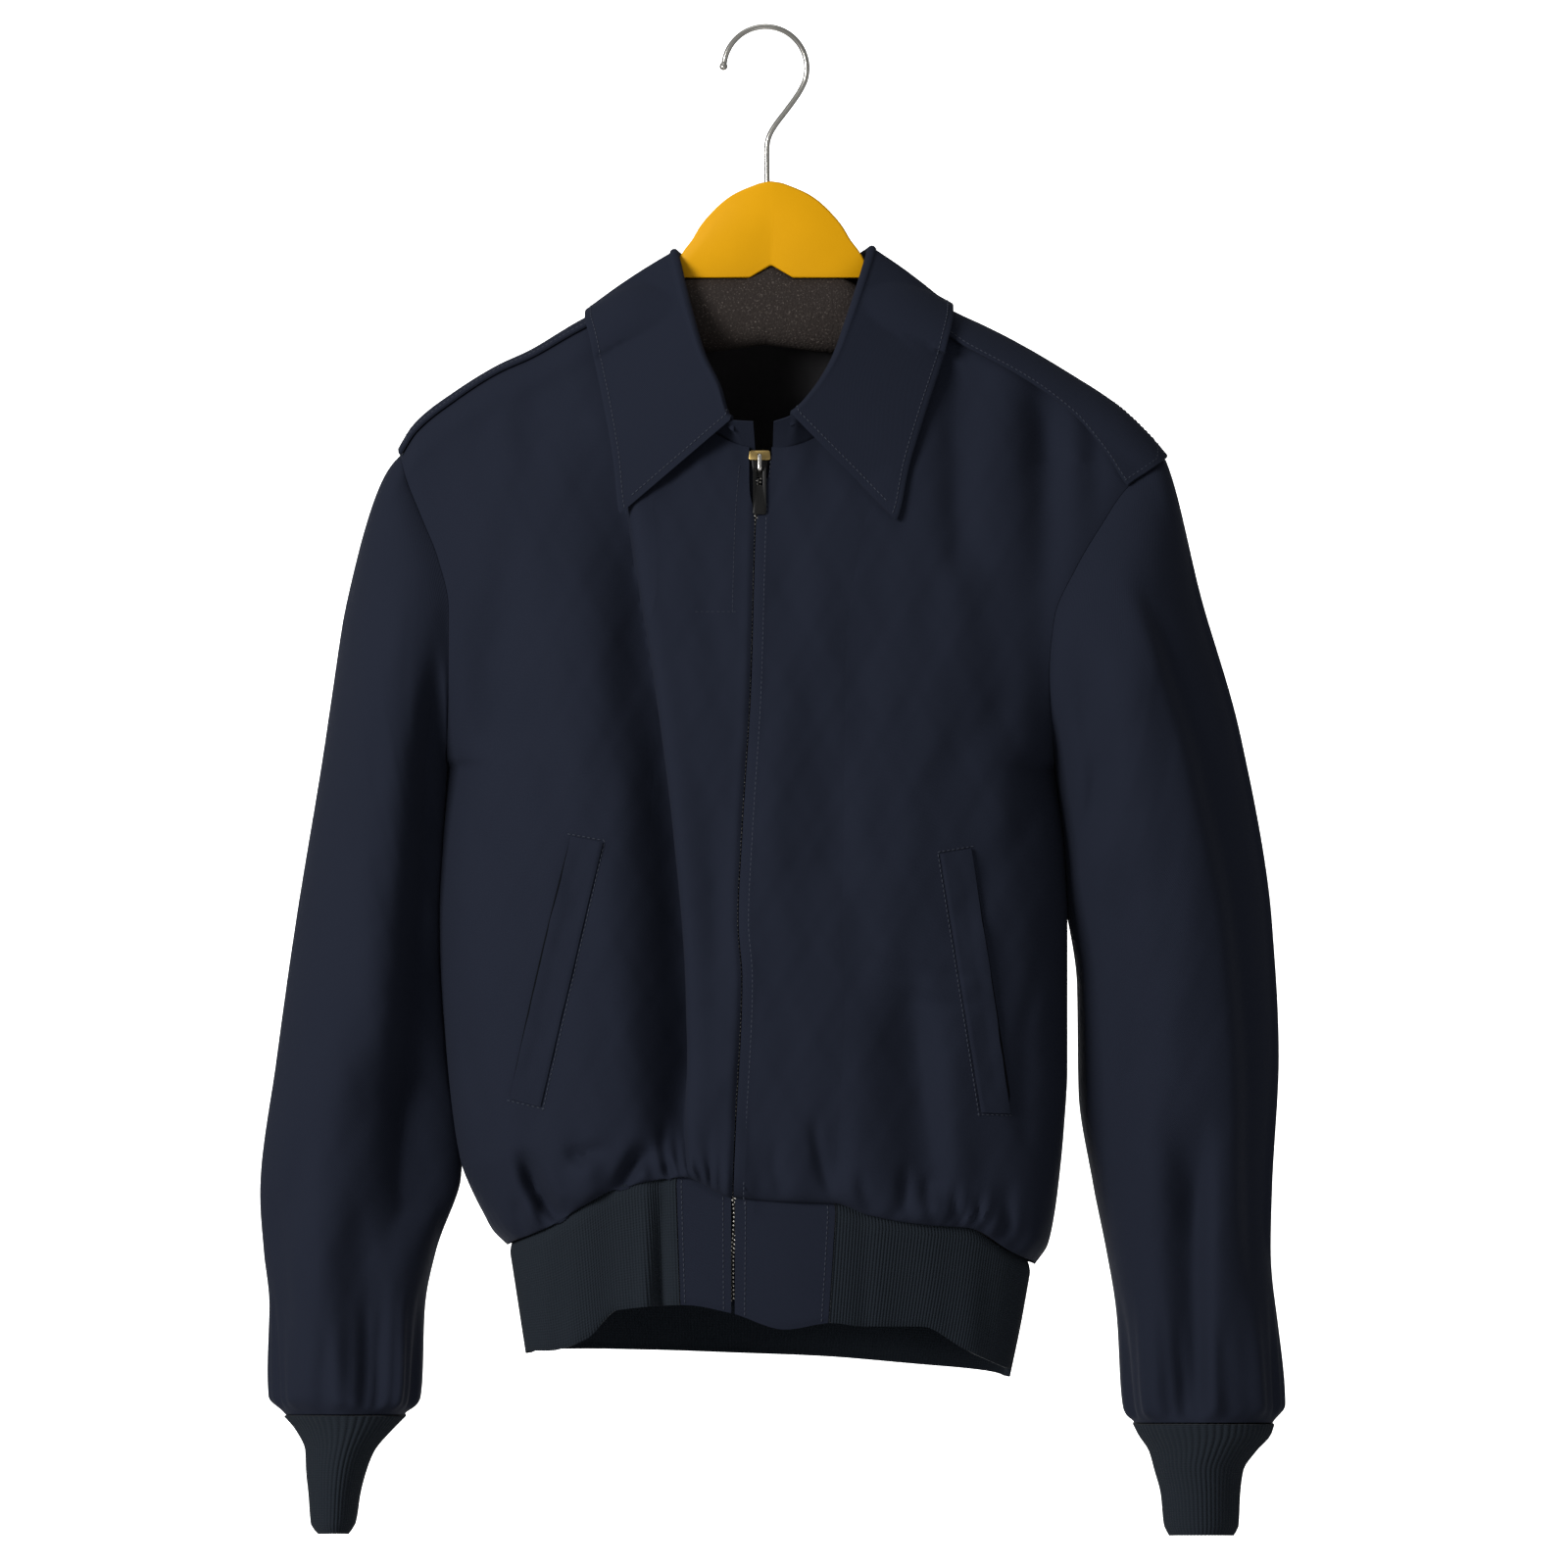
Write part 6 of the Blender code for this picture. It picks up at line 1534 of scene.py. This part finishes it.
# The slider's body is black with a brass crown, its bridge is bright metal and the tab is blackened.
SLIDER_Z = -267.0
METALS = {
    "blackened metal": ((0.006, 0.006, 0.006), 0.34, 0.3, {"Specular_IOR_Level": 0.3}, 0.28, 0.5),
    "brass": ((0.45, 0.32, 0.12), 0.33, 1.0, {}, 0.25, 0.45),
    "bright metal": ((0.62, 0.60, 0.56), 0.25, 1.0, {}, 0.18, 0.35),
}
metals = []
for name, (colour, rough, metallic, settings, low, high) in METALS.items():
    metal, tree, shader = surface_material(name, colour, rough, metallic, **settings)
    scuffed(tree, shader, low, high, Scale=900.0, Detail=4.0)
    metals.append(metal)
black_metal, brass, bright = metals
zip_top, zip_low = tape(np.array([SLIDER_Z, SLIDER_Z - 40.0]), np.array([0.0, 0.0]))
lean = math.atan2(zip_top[1] - zip_low[1], zip_top[2] - zip_low[2])
base = placed(zip_top + behind * TAPE_BEHIND) * 1000
across_zip = np.array([1.0, 0.0, 0.0])
out_of_zip = np.array([0.0, -math.cos(lean), math.sin(lean)])
down_zip = np.array([0.0, -math.sin(lean), -math.cos(lean)])
hinge = base + out_of_zip * HINGE_OUT + down_zip * HINGE_DOWN


def block(name, outline, low, high, material, origin, rim, body="garment", hole=()):
    """A plate cut to an outline seen along the zip's normal, with rounded edges.

    The outline's points are across and up along the zip. The plate reaches from low to high off it.
    """
    levels = [(low, rim), (low + 0.3 * rim, 0.3 * rim), (low + rim, 0.0), (high - rim, 0.0),
              (high - 0.3 * rim, 0.3 * rim), (high, rim)]
    count = len(outline)
    points = []
    for loop, sign in ((outline, -1.0), (hole, 1.0)):
        if len(loop) == 0:
            continue
        loop = np.array(loop, float)
        toward = loop - loop.mean(axis=0)
        toward = toward / np.maximum(np.linalg.norm(toward, axis=1, keepdims=True), 1e-6)
        for level, inset in levels:
            spots = (loop + sign * toward * inset) @ np.stack((across_zip, -down_zip))
            points.append(origin + spots + out_of_zip * level)
    faces = ring_faces(len(levels), count, caps=not hole)
    if hole:
        inner = len(levels) * count
        faces += [[inner + i for i in face] for face in faces]
        for first in (0, inner - count):
            for i in range(count):
                j = (i + 1) % count
                faces.append((first + i, first + j, first + inner + j, first + inner + i))
    return mesh_object(name, np.array(points) * 0.001, faces, material, body)


def rounded_outline(half_top, half_low, top, low, corner):
    """A four-sided outline with rounded corners, counted the same for any size."""
    outline = []
    for x, z, turn in ((half_top, top, 0), (-half_top, top, 90), (-half_low, low, 180), (half_low, low, 270)):
        centre = (x - math.copysign(corner, x), z - math.copysign(corner, 1 if turn < 180 else -1))
        for angle in np.radians(turn + np.arange(0, 91, 18)):
            outline.append((centre[0] + corner * math.cos(angle), centre[1] + corner * math.sin(angle)))
    return outline


body_outline = rounded_outline(5.4, 3.9, 8.4, -8.4, 1.6)
slider_body = block("slider_body", body_outline, 0.5, 3.0, black_metal, base, 0.35)
slider_crown = block("slider_crown", rounded_outline(6.3, 6.6, 8.3, 2.4, 1.2), 2.7, 3.7, brass, base, 0.3)
for piece in (slider_body, slider_crown):
    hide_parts("zip_slider")
# The bridge is a bent bar from the top of the slider's body to its low end.
arch = [(5.2, 2.6), (5.1, 5.4), (4.6, 6.6), (3.6, 7.1), (0.0, 7.2), (-3.6, 7.1), (-4.6, 6.6), (-5.1, 5.4),
        (-5.2, 2.6)]
turns = np.linspace(0, 1, 40)
run = np.linspace(0, 1, len(arch))
up, out = (smooth(run, column, turns) for column in np.array(arch).T)
slope_up = np.gradient(up)
slope_out = np.gradient(out)
size = np.hypot(slope_up, slope_out)
points = []
for u, o, du, do in zip(up, out, slope_up / size, slope_out / size):
    for across, thick in ((1.2, 0.3), (1.2, -0.3), (0.9, -0.6), (-0.9, -0.6), (-1.2, -0.3), (-1.2, 0.3),
                          (-0.9, 0.6), (0.9, 0.6)):
        spot = base - down_zip * (u - do * thick) + out_of_zip * (o + du * thick)
        points.append(spot + across_zip * across)
bridge = mesh_object("slider_bridge", np.array(points) * 0.001, ring_faces(40, 8), bright)
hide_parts("zip_slider")
tab_outline = rounded_outline(4.0, 4.0, 0.9, -30.1, 1.5)
tab_hole = rounded_outline(1.8, 1.8, -0.9, -11.9, 0.7)
tab = block("pull_tab_plate", tab_outline, -0.75, 0.75, black_metal, hinge, 0.25, "pull_tab", tab_hole)
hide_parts("pull_tab")


# Sewing
# Navy thread, a little lighter than the cloth, in lockstitches of about 3 mm that stand a little proud.
# Where a line runs on a surface, it is drawn on that surface's own points.
STITCH = 3.0
THREAD_LIFT = 0.15
COLLAR_INSET = 4.5
thread, tree, shader = surface_material("navy thread", (0.022, 0.026, 0.040), 0.7, Specular_IOR_Level=0.2)
twist = node(tree, "TexNoise", Scale=3000.0)
mapped(tree, "Object", twist)
toned(tree, shader, twist, (0.019, 0.023, 0.034), (0.044, 0.050, 0.070))
stitch_tree = scatter_tree("stitches", "GeometryNodeMeshUVSphere", Segments=6, Rings=4, Radius=0.5)


def stitched(name, paths, wide=0.75):
    """Stitches along paths, as one piece."""
    laid_along(name, paths, stitch_tree, thread, "navy_cloth", Pitch=STITCH * 0.001, Long=STITCH * 0.00078,
               Wide=wide * 0.001, High=wide * 0.0009)


def on_front(side, xz, raised=0.12):
    """Points on the face of a front, from x and z."""
    return on_cloth(side, *np.array(xz, float).T) + TO_VIEWER * raised


def drawn(corners, count):
    """A line through corners, at even steps."""
    corners = np.array(corners, float)
    run = run_of(corners)
    at = np.linspace(0, run[-1], count)
    return np.stack([np.interp(at, run, column) for column in corners.T], axis=-1)


def inset_line(points, outward, inset):
    """A line an inset inside the last row of a grid, along the surface and a little above it."""
    steps = np.linalg.norm(np.diff(points, axis=0), axis=-1)[::-1]
    last = len(points) - 1
    at = np.arange(points.shape[1])
    run = np.concatenate((np.zeros((1, len(at))), np.cumsum(steps, axis=0)))
    place = np.array([last - np.interp(inset, run[:, i], np.arange(last + 1)) for i in at])
    low = np.clip(np.floor(place).astype(int), 0, last - 1)
    part = (place - low)[:, None]
    return points[low, at] * (1 - part) + points[low + 1, at] * part + outward[low, at] * THREAD_LIFT


# Collar: along the leaf's edge and both front ends.
paths = [inset_line(leaf_points, leaf_out, COLLAR_INSET)[3:-3]]
for first, step in ((0, 1), (-1, -1)):
    line = []
    for row, normal in zip(leaf_points[::2, ::step], leaf_out[::2, first]):
        run = run_of(row)
        line.append([np.interp(COLLAR_INSET, run, row[:, i]) for i in range(3)] + normal * THREAD_LIFT)
    paths.append(np.array(line[:-3]))
stitched("collar_stitching", paths)

# Straps: along both long edges and across the armhole end.
paths = []
for side in (-1, 1):
    points, outward = straps[side]
    top = points + outward * 3.2
    last = points.shape[1] - 1
    wide = np.linalg.norm(np.diff(points, axis=1), axis=-1).sum(axis=1).mean()
    step = 2.0 / wide * last
    for place in (step, last - step):
        low = int(place)
        part = place - low
        paths.append((top[:, low] * (1 - part) + top[:, low + 1] * part)[1:-3])
    paths.append(top[-3, 1:-1])
stitched("strap_stitching", paths)

# Fronts: beside the zip on the right, the short line that ends beside it on the left, round the pockets.
heights = np.linspace(-722, -262, 240)
paths = [on_front(1, np.stack((zip_x(heights) + 6.5, heights), axis=-1))]
for side in (-1, 1):
    corner = WELT[side]
    out = np.array([side * 1.3, 0.0])
    up = np.array([0.0, 1.3])
    low_in = corner["low_in"] - out - up
    loop = [low_in, corner["top_in"] - out + up, corner["top_out"] + out + up]
    paths.append(on_front(side, drawn(loop, 120), 0.2))
    paths.append(on_front(side, drawn([low_in, corner["low_out"] + out - up], 16), 0.2))
heights = np.linspace(-356, -268, 50)
left_of_zip = np.stack((zip_x(heights) - 12.5, heights), axis=-1)
end_line = drawn([(-42.0, -356.5), (-19.0, -356.5)], 20)
stitched("zip_end_stitching", [on_front(-1, left_of_zip), on_front(-1, end_line)], wide=0.4)
stitched("front_stitching", paths)

# Waistband: beside the zip on both tabs, and where the tabs meet the knit.
paths = []
for x in (TAB_LEFT[0] + 3.0, TAB_LEFT[1] - 5.0, TAB_RIGHT[0] + 6.5, TAB_RIGHT[1] - 4.5):
    rows = np.linspace(0.03, 0.97, 40)
    line = band(rows, np.full(40, band_turn(x)))
    line[:, 1] -= 0.2
    paths.append(line)
stitched("band_stitching", paths)
